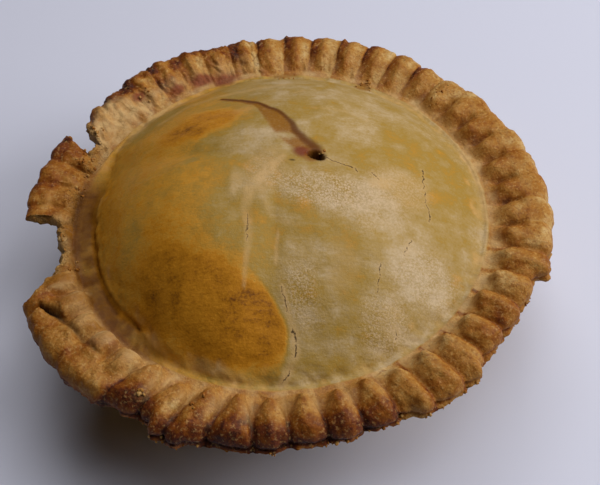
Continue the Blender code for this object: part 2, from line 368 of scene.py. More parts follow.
def lid_foot(angle):
    """The radius of the lid's foot."""
    start, stop, amount = LID_FOOT_SET_BACK
    set_back = amount * stretch(angle, start, stop, LID_FOOT_SOFTNESS)
    return LID_FOOT_RADIUS + near_side_spread(angle) + set_back


def oval_nearness(x, y, oval):
    """Distance from an oval's centre as a share of its half sizes, along its turned axes."""
    centre_x, centre_y, along, across, turn = oval
    c = np.cos(np.radians(turn))
    s = np.sin(np.radians(turn))
    u = (x - centre_x) * c + (y - centre_y) * s
    v = (y - centre_y) * c - (x - centre_x) * s
    return np.hypot(u / along, v / across)


def crease_nearness(radius, angle):
    """1 on the crease at the lid's foot on the lower left, falling as a bell across it."""
    angles, radii = np.array(LID_CREASE).T
    line = np.interp(angle % 360.0, angles, radii)
    from_start, from_stop, softness = CREASE_ENDS
    ends = stretch(angle, angles[0] + from_start, angles[-1] - from_stop, softness)
    return bell((radius - line) / CREASE_WIDTH) * ends


def lid_top(x, y):
    """The lid's height: a full dome, one less the share of the foot radius to a power, with swellings."""
    radius = np.hypot(x, y)
    angle = np.degrees(np.arctan2(y, x))
    start, stop, fuller = LID_BULGE
    fullness = LID_FULLNESS + fuller * stretch(angle, start, stop, LID_BULGE_SOFTNESS)
    share = np.clip(radius / lid_foot(angle), 0.0, 1.0)
    height = VALLEY_HEIGHT + LID_RISE * (1.0 - share ** fullness)
    for centre_x, centre_y, reach, swelling in LID_SWELLINGS:
        nearness = bell(np.hypot(x - centre_x, y - centre_y) / (reach * SWELLING_CORE))
        height = height + swelling * nearness * ease((1.0 - share) / SWELLING_END_SHARE)
    height = height - CREASE_DEPTH * crease_nearness(radius, angle)
    start, stop, lip_offset, lip_height = LID_LIP
    lip = bell((radius - lid_foot(angle) - lip_offset) / LID_LIP_WIDTH)
    height = height + lip_height * lip * stretch(angle, start, stop, LID_LIP_SOFTNESS)
    hole = oval_nearness(x, y, STEAM_HOLE)
    lip_place, lip_width = STEAM_HOLE_LIP_PLACE
    wall_start, wall_width = STEAM_HOLE_WALL
    height = height + STEAM_HOLE_LIP * bell((hole - lip_place) / lip_width)
    return height - STEAM_HOLE_DEPTH * (1.0 - ease((hole - wall_start) / wall_width))


def rim_columns():
    """The angles of the columns: even, but crowded on the broken flanks by a running sum of density."""
    fine = np.linspace(0.0, 360.0, FINE_COLUMNS)
    density = np.ones_like(fine)
    for flank in FLANK_ANGLES:
        density += FLANK_CROWDING * bell((fine - flank) / FLANK_REACH)
    total = np.concatenate([[0.0], np.cumsum((density[1:] + density[:-1]) / 2.0)])
    return np.interp(np.arange(RIM_COLUMNS) / RIM_COLUMNS * total[-1], total, fine)


def crimp_place(angle):
    """Which crimp an angle lies on, and its phase there: groove at 0, crest at 0.5, groove at 1."""
    turned = angle - FIRST_CREST_ANGLE - CRIMP_CROWDING * (1.0 + np.sin(np.radians(angle)))
    count = turned / CRIMP_PITCH + 0.5
    number = np.floor(count).astype(int)
    return number % CRIMP_COUNT, count - number


def lobe_shape(phase, skew, bluntness):
    """The cross-section of one crimp: a sine to a power, blunt on top with narrow grooves."""
    return np.sin(np.pi * phase ** skew) ** bluntness


def rim_outline(angle):
    """The rim's own outer radius before anything broke off: a circle with stepped stretches."""
    return RIM_RADIUS + stretches(angle, RIM_STEPS, RIM_STEP_SOFTNESS)


def broken_outline(angle):
    """The radius at which the broken rim ends, read along its outline; far outside where whole."""
    angles, radii = np.array(BROKEN_RIM).T
    inside = (angle > angles[0]) & (angle < angles[-1])
    turn = np.radians(angle)
    cut = np.interp(angle, angles, radii)
    around = np.stack([cut * np.cos(turn), cut * np.sin(turn), np.zeros_like(turn)], axis=1)
    cut = cut + relief(around, BREAK_RAGGEDNESS)
    return np.where(inside, cut, 2.0 * RIM_RADIUS)


def rim_top(place, angle, phase, skew, plumpness, span):
    """The height of the rim: valley, plus the plate the crimps stand on, plus the lobes across it."""
    strength = plumpness.copy()
    for start, stop, amount in CRIMP_STRENGTHS:
        strength = strength * (1.0 + (amount - 1.0) * stretch(angle, start, stop, STRENGTH_SOFTNESS))
    outer = ease((place - SMOOTH_BAND_START) / SMOOTH_BAND_SOFTNESS)
    band = stretches(angle, SMOOTH_BANDS, SMOOTH_BAND_END_SOFTNESS)
    tip = 1.0 - ease(place / TIP_SHARE)
    pointed = TIP_POINTEDNESS * (1.0 - stretch(angle, *SQUARE_TIPS, SQUARE_TIPS_SOFTNESS))
    lobe_here = lobe_shape(phase, skew, CRIMP_BLUNTNESS + pointed * tip)
    off_crest = 1.0 - lobe_shape(phase, skew, 1.0)
    petal = (PETAL_LEAST + stretches(angle, PETAL_LENGTHS, PETAL_SOFTNESS)) / span
    ramp = INNER_RAMP + stretches(angle, INNER_RAMPS, INNER_RAMP_SOFTNESS)
    fall = LOBE_FALL * ease((place - LOBE_FALL_START) / (1.0 - LOBE_FALL_START))
    swell = ease((place - petal * off_crest) / ramp) * (1.0 - fall)
    floor = CRIMP_GROOVE_HEIGHT * ease(place / FLOOR_RISE_SHARE) + SMOOTH_BAND_HEIGHT * band * outer
    lobe = (CRIMP_LOBE_HEIGHT - CRIMP_GROOVE_HEIGHT) * strength * swell
    height = VALLEY_HEIGHT + floor + lobe * lobe_here * (1.0 - LOBE_LOSS_IN_BAND * band * outer)
    start, stop, depth = FINGER_DENTS
    dent_place, dent_width = FINGER_DENT_PLACE
    dents = depth * bell((place - dent_place) / dent_width) * off_crest ** 2
    height = height - dents * stretch(angle, start, stop, FINGER_DENT_SOFTNESS)
    ridges = stretches(angle, HALF_RIDGES, HALF_RIDGE_SOFTNESS) * np.cos(4.0 * np.pi * phase)
    return height + ridges * ease(place / HALF_RIDGE_RISE_SHARE)


def crack_depth(radius, angle):
    """The depth of the lengthwise crack in the smooth band: a bell across a line, deeper in places."""
    angles, radii, depths = np.array(BAND_CRACK).T
    line = np.interp(angle, angles, radii)
    return np.interp(angle, angles, depths) * bell((radius - line) / BAND_CRACK_WIDTH)


def ring(radius, angle, height, kind, column, **facts):
    """One ring: its points in millimetres, and what is known about each point."""
    turn = np.radians(angle)
    height = np.broadcast_to(height, np.shape(radius))
    points = np.stack([radius * np.cos(turn), radius * np.sin(turn), height], axis=1)
    known = np.zeros((len(points), len(FACTS)))
    known[:, 0] = kind
    known[:, 1] = column
    for name, values in facts.items():
        known[:, FACTS.index(name)] = values
    return points, known


def lid_rings(column):
    """The rings of the lid from the middle outwards: fewer columns inside, all of them at the foot."""
    places = []
    wide = column[::2]
    small = column[::4]
    for radius in np.linspace(MIDDLE_RADIUS / MIDDLE_RINGS, MIDDLE_RADIUS, MIDDLE_RINGS, endpoint=False):
        places.append((np.full(len(small), radius), small))
    for left_over in np.linspace(1.0, 0.0, LID_RINGS, endpoint=False):
        share = 1.0 - left_over ** LID_RING_CROWDING
        places.append((MIDDLE_RADIUS + (lid_foot(wide) - LID_EDGE_INSET - MIDDLE_RADIUS) * share, wide))
    for share in np.linspace(0.0, 1.0, TOE_RINGS, endpoint=False):
        foot = lid_foot(column) - LID_EDGE_INSET
        toe = CRIMP_TOE_RADIUS + near_side_spread(column)
        places.append((foot + (toe - 1.0 - foot) * share, column))
    rings = []
    for radius, angle in places:
        turn = np.radians(angle)
        height = lid_top(radius * np.cos(turn), radius * np.sin(turn))
        rings.append(ring(radius, angle, height, ON_LID, angle))
    return rings


def rim_rings(column):
    """The rings of the rim over its top, round its edge, along its underside and down to the wall."""
    chance = np.random.default_rng(CHANCE_SEED)
    crimp, phase = crimp_place(column)
    plumpness = chance.uniform(*PLUMPNESS_RANGE, CRIMP_COUNT)[crimp]
    tip_shift = chance.uniform(-TIP_SHIFT, TIP_SHIFT, CRIMP_COUNT)[crimp]
    end_shift = chance.uniform(-END_SHIFT, END_SHIFT, CRIMP_COUNT)[crimp]
    skew = CRIMP_SKEW + chance.uniform(-SKEW_CHANCE, SKEW_CHANCE, CRIMP_COUNT)[crimp]
    skew = skew + stretches(column, ROPE_SKEWS, ROPE_SOFTNESS)
    lean = stretches(column, CRIMP_SLANTS, SLANT_SOFTNESS)
    lobe = lobe_shape(phase, skew, CRIMP_BLUNTNESS)

    toe = CRIMP_TOE_RADIUS + near_side_spread(column) + tip_shift * lobe
    edge_angle = column + lean * (RIM_RADIUS - SLANT_RADIUS) / SLANT_SPAN
    start, stop, deeper = NEAR_SCALLOP
    scallop = CRIMP_SCALLOP + deeper * stretch(column, start, stop, NEAR_SCALLOP_SOFTNESS)
    outline = rim_outline(edge_angle)
    natural = outline + scallop * (lobe - SCALLOP_MIDDLE) + end_shift * lobe
    cut = broken_outline(column)
    end = np.minimum(natural, cut)
    broken = ease((natural - cut) / BREAK_BLEND)
    underside = RIM_UNDERSIDE_HEIGHT + stretches(column, UNDERSIDE_RAISES, UNDERSIDE_SOFTNESS)

    def turned(radius):
        return column + lean * (radius - SLANT_RADIUS) / SLANT_SPAN

    def place_at(radius):
        return np.clip((radius - toe) / (natural - toe), 0.0, 1.0)

    def top(radius):
        height = rim_top(place_at(radius), column, phase, skew, plumpness, natural - toe)
        return height - crack_depth(radius, column)

    def part(radius, height, kind):
        torn = broken * ease(1.0 - (end - radius - rounding) / TORN_WIDTH)
        return ring(radius, turned(radius), height, kind, column, place=place_at(radius), phase=phase,
                    crimp=crimp, broken=broken, torn_edge=torn)

    rounding = EDGE_ROUNDING + (BROKEN_EDGE_ROUNDING - EDGE_ROUNDING) * broken
    inner_end = end - rounding
    shoulder = top(inner_end)
    edge_height = np.maximum(RIM_EDGE_HEIGHT, underside + LEAST_EDGE_ABOVE_UNDERSIDE)
    middle = edge_height + ((shoulder + underside) / 2.0 - edge_height) * broken
    undercut = EDGE_UNDERCUT + (BROKEN_EDGE_ROUNDING - EDGE_UNDERCUT) * broken
    skirt = stretches(column, SKIRTS, SKIRT_SOFTNESS) * (1.0 - broken)

    rings = []
    start = CRIMP_TOE_RADIUS + near_side_spread(column) - 1.0
    for share in np.linspace(0.0, 1.0, RIM_RINGS, endpoint=False):
        radius = start + share * (inner_end - start)
        rings.append(part(radius, top(radius), ON_RIM))
    for edge_turn in np.linspace(0.0, np.pi / 2.0, EDGE_RINGS, endpoint=False):
        radius = inner_end + rounding * np.sin(edge_turn)
        rings.append(part(radius, middle + (shoulder - middle) * np.cos(edge_turn), ON_EDGE))
    for edge_turn in np.linspace(0.0, np.pi / 2.0, UNDERCUT_RINGS):
        height = middle - (middle - underside) * np.sin(edge_turn)
        dent = SKIRT_DENT * bell((height - SKIRT_DENT_HEIGHT) / SKIRT_DENT_WIDTH)
        lip = (SKIRT_LIP + outline - end) * bell((height - SKIRT_LIP_HEIGHT) / SKIRT_LIP_WIDTH)
        radius = end - undercut * (1.0 - np.cos(edge_turn)) + skirt * (lip - dent)
        rings.append(part(radius, height, ON_EDGE))
    fillet = np.clip(end - undercut - WALL_TOP_RADIUS, LEAST_FILLET, RIM_FILLET)
    for share in np.linspace(0.0, 1.0, UNDERSIDE_RINGS + 1)[1:]:
        radius = end - undercut + (WALL_TOP_RADIUS + fillet - end + undercut) * share
        rings.append(part(radius, underside, ON_UNDERSIDE))
    return rings


def wall_rings(column):
    """The rings of the tapered case and its rounded foot, on every fourth column."""
    rings = []
    angle = column[::4]
    foot = BASE_EDGE_ROUNDING
    wall_height = RIM_UNDERSIDE_HEIGHT - RIM_FILLET
    for share in np.linspace(1.0, 0.0, WALL_RINGS, endpoint=False):
        radius = np.full(len(angle), BASE_RADIUS + (WALL_TOP_RADIUS - BASE_RADIUS) * share)
        rings.append(ring(radius, angle, foot + (wall_height - foot) * share, ON_WALL, angle))
    for edge_turn in np.linspace(np.pi / 2.0, 0.0, BASE_EDGE_RINGS):
        radius = np.full(len(angle), BASE_RADIUS - foot * (1.0 - np.sin(edge_turn)))
        rings.append(ring(radius, angle, foot * (1.0 - np.cos(edge_turn)), ON_WALL, angle))
    return rings


def band_faces(first, first_count, second, second_count):
    """The faces between an inner and an outer ring of equal counts, or one with 2 or 4 times more."""
    count = min(first_count, second_count)
    times = max(first_count, second_count) // count
    i = np.arange(count)
    j = (i + 1) % count
    if times == 1:
        return np.concatenate([np.stack([first + i, second + i, second + j], axis=1),
                               np.stack([first + i, second + j, first + j], axis=1)])
    outwards = second_count > first_count
    few, many = (first, second) if outwards else (second, first)
    faces = [np.stack([few + i, many + i * times + times // 2, few + j], axis=1)]
    for k in range(times):
        near = few + (i if k < times // 2 else j)
        this = many + i * times + k
        after = many + (i * times + k + 1) % (count * times)
        faces.append(np.stack([near, this, after], axis=1))
    faces = np.concatenate(faces)
    return faces if outwards else faces[:, ::-1]


def fan_faces(pole, start, count, upwards):
    """The triangles between a pole and the ring next to it."""
    i = np.arange(count)
    j = (i + 1) % count
    middle = np.full(count, pole)
    if upwards:
        return np.stack([middle, start + i, start + j], axis=1)
    return np.stack([middle, start + j, start + i], axis=1)


def crust_skin():
    """The points, triangles and known facts of the whole closed crust, in millimetres."""
    column = rim_columns()
    rings = lid_rings(column) + rim_rings(column) + wall_rings(column)
    zero = np.zeros(1)
    rings.insert(0, ring(zero, zero, lid_top(zero, zero), ON_LID, zero))
    rings.append(ring(zero, zero, zero, ON_WALL, zero))
    counts = [len(points) for points, known in rings]
    starts = np.concatenate([[0], np.cumsum(counts)])
    faces = [fan_faces(0, starts[1], counts[1], True)]
    for k in range(1, len(rings) - 2):
        faces.append(band_faces(starts[k], counts[k], starts[k + 1], counts[k + 1]))
    faces.append(fan_faces(starts[-2], starts[-3], counts[-2], False))
    points = np.concatenate([points for points, known in rings])
    known = np.concatenate([known for points, known in rings])
    return points, np.concatenate(faces), dict(zip(FACTS, known.T))


def face_normals(points, faces):
    """The unit normals of the points, each the sum of its faces' area normals."""
    a, b, c = (points[faces[:, k]] for k in range(3))
    across = np.cross(b - a, c - a)
    normals = np.zeros_like(points)
    for k in range(3):
        for axis in range(3):
            normals[:, axis] += np.bincount(faces[:, k], across[:, axis], len(points))
    return normals / np.maximum(np.linalg.norm(normals, axis=1, keepdims=True), 1e-9)


# Marks on the lid in millimetres: x, y, half length, half width, turn, amount
LID_BROWNING = (
    (-24.0, 25.0, 15.0, 9.0, 12.0, 0.24),
    (-31.0, 18.0, 8.0, 6.0, 0.0, 0.06),
    (-57.0, -2.0, 18.0, 5.0, 96.0, 0.06),
    (-45.0, -26.0, 4.5, 12.0, 8.0, -0.16),
    (-12.0, -9.0, 4.0, 7.0, 0.0, -0.14),
    (-12.0, 10.0, 11.0, 8.0, 20.0, -0.10),
    (-29.0, 2.5, 3.0, 2.0, 0.0, -0.15),
    (-5.0, -14.0, 4.0, 9.0, 20.0, -0.10),
    (-45.0, 38.0, 13.0, 8.0, 40.0, -0.20),
    (22.0, 40.0, 16.0, 7.0, 8.0, -0.08),
    (60.0, 8.0, 6.0, 16.0, 0.0, 0.05),
    (38.0, 14.0, 28.0, 13.0, 15.0, 0.05),
    (18.0, -26.0, 10.0, 5.0, -10.0, 0.16),
    (6.0, -19.0, 8.0, 4.0, -20.0, 0.16),
    (-4.0, -30.0, 6.0, 13.0, 0.0, 0.12),
    (9.0, -44.0, 7.0, 6.0, 0.0, 0.18),
    (24.0, -40.0, 6.0, 9.0, 0.0, 0.10),
    (30.0, -58.0, 8.0, 4.0, 0.0, 0.08),
    (14.0, -63.0, 9.0, 3.0, 5.0, 0.10),
    (54.5, -37.0, 6.0, 2.0, 70.0, 0.20),
    (49.0, -32.0, 3.0, 4.0, 0.0, 0.08),
    (30.0, -17.0, 18.0, 14.0, 0.0, -0.06),
    (51.0, -12.0, 11.0, 13.0, 0.0, 0.05),
    (-8.0, -8.0, 9.0, 8.0, 0.0, 0.06),
    (45.0, -35.0, 10.0, 10.0, 0.0, -0.08),
)
# The orange zone low on the left, which ends sharply along a line on its right, and its darker parts
ORANGE_ZONE = (
    (-29.0, -39.0, 25.0, 15.0, -38.0, 0.55),
    (-32.0, -40.0, 16.0, 10.0, -38.0, 0.45),
    (-13.0, -52.0, 27.0, 16.0, -10.0, 0.55),
    (-11.0, -54.0, 18.0, 11.0, -10.0, 0.45),
)
ORANGE_DEEP = (
    (-8.0, -53.0, 12.0, 9.0, 0.0, 0.04),
    (-37.0, -41.0, 5.0, 9.0, 40.0, 0.03),
    (-30.0, -55.0, 9.0, 4.0, -30.0, 0.04),
)
ORANGE_ZONE_END = (
    (-70.0, -1.0),
    (-63.0, 1.8),
    (-57.0, 3.0),
    (-52.0, 1.4),
    (-47.0, -1.4),
    (-42.0, -5.0),
    (-38.0, -9.3),
    (-20.0, -9.3),
)
LID_FLOUR = (
    (-13.2, -7.1, 3.0, 5.0, 0.0, 0.5),
    (-6.0, -7.0, 5.0, 9.0, 0.0, 0.25),
    (-3.0, 1.5, 6.0, 4.0, 30.0, 0.30),
    (40.0, -6.0, 9.0, 8.0, 0.0, 0.42),
    (-0.5, -8.0, 5.0, 7.0, -40.0, 0.20),
    (32.0, -7.5, 3.5, 2.5, 0.0, 0.5),
    (-20.0, -63.5, 9.0, 2.0, -18.0, 0.5),
    (-42.0, -51.0, 8.0, 2.5, -48.0, 0.35),
    (34.0, -51.0, 4.0, 6.0, 0.0, 0.25),
    (20.0, -37.0, 5.0, 9.0, 0.0, 0.30),
    (-8.0, 30.0, 8.0, 4.0, 30.0, 0.30),
    (-47.0, 45.0, 10.0, 4.0, 45.0, 0.40),
    (-28.0, 53.5, 9.0, 3.5, 27.0, 0.50),
    (-42.0, 48.5, 9.0, 4.0, 40.0, 0.45),
    (-54.0, 37.0, 7.0, 3.5, 55.0, 0.50),
    (-12.0, 52.0, 7.0, 10.0, 0.0, 0.20),
)
# Glossy patches of glaze, where glints are also painted into the colour
LID_GLOSS_AND_GLINTS = (
    (14.0, -11.5, 16.0, 8.5, -8.0, 0.75),
    (28.0, -17.0, 14.0, 9.0, -10.0, 0.4),
    (45.5, -36.0, 11.0, 11.0, 0.0, 0.55),
    (38.0, -6.0, 11.0, 9.0, 0.0, 0.5),
    (-4.0, -3.0, 6.0, 8.0, 0.0, 0.4),
    (32.5, -52.0, 8.0, 9.0, 0.0, 0.6),
    (7.5, -45.2, 6.0, 11.0, 0.0, 0.6),
)
RIM_FLOUR = (
    (-60.0, 44.0, 11.0, 8.0, 50.0, 1.4),
    (-52.0, 52.0, 8.0, 5.0, 40.0, 0.6),
    (-73.5, -13.0, 3.0, 3.0, 0.0, 0.6),
    (-68.5, -31.5, 6.0, 1.4, 12.0, 0.7),
    (-62.5, -40.5, 5.0, 1.4, 20.0, 0.6),
    (-55.0, -50.0, 5.0, 1.6, 35.0, 0.5),
)
# Lines on the lid: x, y and half width at each point, then the amount
FLOUR_LINES = (
    (((1.9, 0.8, 1.0), (-2.2, -3.9, 2.2), (-5.9, -8.8, 2.0), (-8.3, -12.8, 1.8), (-9.1, -20.3, 1.5),
      (-9.0, -29.0, 1.2), (-9.2, -37.1, 0.9), (-9.6, -44.1, 0.5)), 0.55),
    (((-5.9, -8.8, 1.5), (-2.0, -21.9, 0.6), (2.6, -24.3, 0.5), (7.2, -25.3, 0.4)), 0.3),
    (((0.2, -27.5, 0.5), (0.1, -32.6, 0.7), (0.1, -37.7, 0.5)), 0.7),
    (((1.5, -43.4, 0.6), (2.9, -49.9, 0.8), (4.0, -53.7, 1.0), (5.1, -57.3, 1.1), (5.6, -60.3, 1.1),
      (4.3, -62.8, 1.2), (3.4, -64.8, 1.2), (1.2, -68.3, 1.5)), 0.60),
    (((-42.3, 33.9, 1.0), (-31.9, 42.0, 1.2), (-12.3, 45.2, 1.2), (3.3, 50.1, 1.0)), 0.4),
    (((5.0, 39.6, 0.4), (8.2, 42.2, 0.5)), 0.7),
    (((10.0, 27.5, 0.4), (22.0, 27.0, 0.5), (30.0, 24.0, 0.3)), 0.35),
    (((46.0, 49.7, 0.8), (52.8, 43.3, 1.0), (61.3, 30.6, 1.2), (68.0, 9.1, 1.3), (68.8, -9.9, 1.3),
      (65.2, -30.5, 1.0)), 0.75),
)
JUICE_TRAIL = (
    (((-20.4, 40.6, 0.7), (-13.7, 36.8, 0.9), (-8.5, 32.2, 1.1), (-5.2, 29.2, 1.8), (-1.4, 22.6, 3.2),
      (1.4, 15.8, 3.3), (4.2, 10.6, 2.9), (7.8, 6.4, 3.1), (11.0, 2.6, 3.1)), 1.0),
)
# A painted shadow: a deep brown line along the juice trail's upper-right side, where the crust steps up over
# it
TRAIL_STEP_SHADOW = (
    (((-20.4, 40.9, 0.4), (-13.7, 37.2, 0.6), (-5.8, 30.9, 0.7), (-1.0, 26.6, 0.8), (1.9, 22.7, 0.8),
      (4.4, 17.9, 0.9), (6.2, 13.1, 1.2), (8.8, 9.2, 1.6), (12.4, 5.0, 1.9), (13.8, 1.4, 1.5)), 1.0),
)
JUICE_PALE = (
    (2.5, 11.4, 3.6, 1.8, -15.0, 0.9),
)
JELLY_SPOT = (
    (7.6, 3.4, 2.8, 2.2, 0.0, 1.0),
)
# Painted shade: the inside of the steam hole and the pinholes are painted near black
DARK_HOLE = (
    (12.0, 1.7, 2.7, 1.5, 155.0, 1.0),
)
PINHOLES = (
    (4.8, -0.6, 0.55, 0.55, 0.0, 1.0),
    (-22.6, -45.6, 0.45, 0.45, 0.0, 1.0),
)
# Red and orange juice on the rim
RED_STAINS = (
    (-21.5, 65.5, 5.0, 3.2, 20.0, 1.0),
    (-30.0, 65.0, 4.5, 2.6, 25.0, 1.0),
    (-38.5, 60.0, 3.2, 2.0, 35.0, 0.9),
    (-52.5, 56.0, 2.8, 2.0, 40.0, 0.9),
)
ORANGE_STAINS = (
    (0.8, 66.6, 5.2, 1.1, 4.0, 0.9),
    (29.5, 58.8, 4.6, 3.0, 40.0, 0.8),
    (-50.2, 46.5, 2.8, 1.2, 120.0, 0.8),
    (-71.5, -6.5, 2.2, 3.2, 0.0, 0.9),
    (-71.5, -29.0, 6.0, 2.0, 8.0, 0.8),
    (-64.5, -37.5, 4.0, 1.6, 15.0, 0.7),
    (-57.6, -46.8, 4.0, 1.6, 25.0, 0.7),
)


def patches(x, y, rows):
    """The sum of soft-edged ovals: each fades from its amount between half and 1.35 of its size."""
    total = np.zeros_like(x)
    for centre_x, centre_y, along, across, turn, amount in rows:
        nearness = oval_nearness(x, y, (centre_x, centre_y, along, across, turn))
        total = total + amount * (1.0 - ease((nearness - 0.5) / 0.85))
    return total


def lines(x, y, rows, softness):
    """The strongest of lines through points: distance to the nearest stretch over its half width."""
    strongest = np.zeros_like(x)
    for points, amount in rows:
        for (ax, ay, aw), (bx, by, bw) in zip(points, points[1:]):
            run_x = bx - ax
            run_y = by - ay
            share = ((x - ax) * run_x + (y - ay) * run_y) / (run_x ** 2 + run_y ** 2)
            share = np.clip(share, 0.0, 1.0)
            away = np.hypot(x - ax - share * run_x, y - ay - share * run_y)
            width = aw + share * (bw - aw)
            strength = amount * (1.0 - ease((away / width - 1.0) / softness + 0.5))
            strongest = np.maximum(strongest, strength)
    return strongest


def rising(value, start, width):
    """0 before a start, easing to 1 over a width."""
    return ease((value - start) / width)


def falling(value, start, width):
    """1 before a start, easing to 0 over a width."""
    return 1.0 - rising(value, start, width)


def blend(rows, masks):
    """The sum of the rows' amounts, each times every mask that its row names."""
    total = 0.0
    for amount, names in rows:
        share = amount
        for name in names.split():
            share = share * masks[name]
        total = total + share
    return total


# Lumps that the marks wander and vary by: height, size of the largest, layers and seed
WANDER = (
    (1.8, 9.0, 3, 31),
    (1.8, 9.0, 3, 41),
)
FINE_WANDER = 0.3
LUMP_MASKS = {
    "broad": (1.0, 14.0, 2, 51),
    "middling": (1.0, 4.5, 3, 61),
    "small": (1.0, 1.6, 2, 71),
    "blotches": (1.0, 7.0, 2, 141),
}

# The rim's parts, by their start and stop angles
ZONE_SOFTNESS = 4.0
RIM_ZONES = {
    "near": (236.0, 292.0),
    "near_right": (295.0, 346.0),
    "right": (348.0, 46.0),
    "far": (50.0, 100.0),
    "upper_left": (103.0, 150.0),
    "tab": (154.0, 181.0),
    "lower_left": (182.0, 233.0),
    "broken_root": (150.0, 182.0),
}

# Masks across the rim, from 0 at its inner end to 1 at its edge: start and width
PLACE_RISES = {
    "outer": (0.45, 0.50),
    "past_middle": (0.35, 0.20),
}
PLACE_FALLS = {
    "inner": (0.12, 0.40),
    "inner_half": (0.20, 0.35),
    "petals": (0.35, 0.25),
    "at_root": (0.08, 0.18),
    "at_foot": (0.05, 0.12),
    "at_toe": (0.00, 0.08),
    "torn_root": (0.10, 0.22),
}
THUMB_HOLLOW = (0.27, 0.17)
NEAR_END = (0.52, 0.30)
NEAR_END_WANDER = 0.08

# Masks across one crimp, by its phase
EARLY_SIDE = (0.30, 0.25)
LATE_SIDE = (0.60, 0.22)
ROPE_LINE = (0.93, 0.08)
GROOVE_LINE_WIDTH = 0.07
CREST = (0.5, 0.3)
GROOVE_SHARPNESS = 1.2
TONE_SEED = 17
TONE_CHANCE = 0.08

# Masks on the lid and by height
LEFT_SIDE = (-42.0, 46.0)
ORANGE_ZONE_EDGE = 2.4
VALLEY_START = (-2.6, 4.5)
VALLEY_WANDER = 3.5
# The shade mask: painted shade in the valley at the lid's foot on the left, where the fuller lid turns away
# from the light
SHADE_ANGLES = (172.0, 230.0, 14.0)
SHADE_START = (-1.6, 1.6)
SHADE_END = (69.6, 3.0)
SHADE_WANDER = 0.6
LOWER_EDGE = (44.0, 2.0)
SKIRT_LINE_WIDTH = 0.7

# How far each part is baked, with painted shade among the crimps' rows: amounts, each with the masks that it
# is multiplied by
LID_BAKE = (
    (0.28, ""),
    (0.33, "left"),
    (0.08, "broad"),
    (-0.048, "broad left"),
    (0.10, "middling"),
    (-0.06, "middling left"),
)
ORANGE_BAKE = (
    (0.77, ""),
    (0.02, "broad"),
    (0.05, "middling"),
)
VALLEY_BAKE = (
    (0.55, ""),
    (-0.20, "rightness"),
    (0.16, "middling"),
)
VALLEY_SHARE = 0.6
# A painted shadow line: the crease under the lid's foot on the lower left is given the deepest browning
# colour
CREASE_SHADOW_BAKE = 0.93
CRIMP_BAKE_AND_SHADE = (
    (0.49, ""),
    (1.00, "tone"),
    (0.15, "middling"),
    (0.06, "small"),
    (0.07, "blotches"),
    (0.04, "near"),
    (-0.12, "near late"),
    (0.12, "near late near_end"),
    (0.30, "near near_end"),
    # Painted shadow: a deep brown line where each lobe overlaps the next
    (0.34, "near_right rope_line"),
    (-0.16, "near_right inner"),
    (0.06, "near_right outer"),
    # Deeper brown in the thumb hollows: partly browning, partly painted shade
    (0.30, "right off_crest thumb_hollow"),
    (-0.16, "right outer"),
    # At the far rim the lobes are browner on their left sides and paler on their right: partly browning,
    # partly painted shade and light
    (0.26, "far late"),
    (-0.104, "far late inner"),
    (-0.18, "far early"),
    (0.08, "upper_left"),
    (0.10, "upper_left late"),
    (0.18, "upper_left outer"),
    (0.14, "upper_left middling"),
    (-0.06, "upper_left early"),
    (0.06, "tab"),
    (0.14, "tab outer"),
    (0.04, "lower_left"),
    (-0.06, "lower_left inner"),
    # Deeper brown in the grooves between the lobes: painted shade, partly browning
    (0.20, "groove past_middle near"),
    (0.20, "groove past_middle far"),
    (0.20, "groove inner near_right"),
    (0.20, "lower_edge near"),
    (0.16, "lower_edge near_right"),
    (0.28, "lower_edge lower_left"),
    (0.12, "lower_edge tab"),
    (-0.34, "skirt_line near"),
    (-0.34, "skirt_line near_right"),
    (-0.20, "skirt_line near small"),
    (-0.20, "skirt_line near_right small"),
)
HIDDEN_BAKE = (
    (0.50, ""),
    (0.06, "broad"),
    (0.04, "middling"),
)
TORN_BAKE = (
    (0.34, ""),
    (0.16, "middling"),
)

# How floury each part is, in the same way
VALLEY_FLOUR = (
    (-0.04, ""),
    (0.40, "rightness"),
    (0.65, "middling"),
)
MOST_VALLEY_FLOUR = 0.8
SHADE_FLOUR_LOSS = 0.7
PETAL_GAP_FLOUR = 0.65
LATE_SIDE_FLOUR = 0.35
CRIMP_FLOUR = (
    (1.00, "near petal_gaps"),
    (0.60, "near_right at_root"),
    (-0.60, "near_right at_root late"),
    (0.30, "inner_grooves right"),
    (0.50, "inner_grooves far"),
    (0.30, "inner_grooves lower_left"),
    (0.50, "right at_foot"),
    (0.60, "upper_left inner_half"),
    (-0.36, "upper_left inner_half late"),
    (0.60, "lower_left inner crest"),
)
FLOUR_UNEVENNESS = (
    (0.80, ""),
    (0.70, "middling"),
)
TOE_FLOUR = (
    (0.20, ""),
    (0.50, "middling"),
)
HIDDEN_FLOUR = 0.1
ROOT_UNEVENNESS = 1.4
LINE_SOFTNESS = 1.2
JUICE_SOFTNESS = 0.5
# Painted shade in the crack along the smooth band, following its depth
CRACK_DARKNESS = 0.35


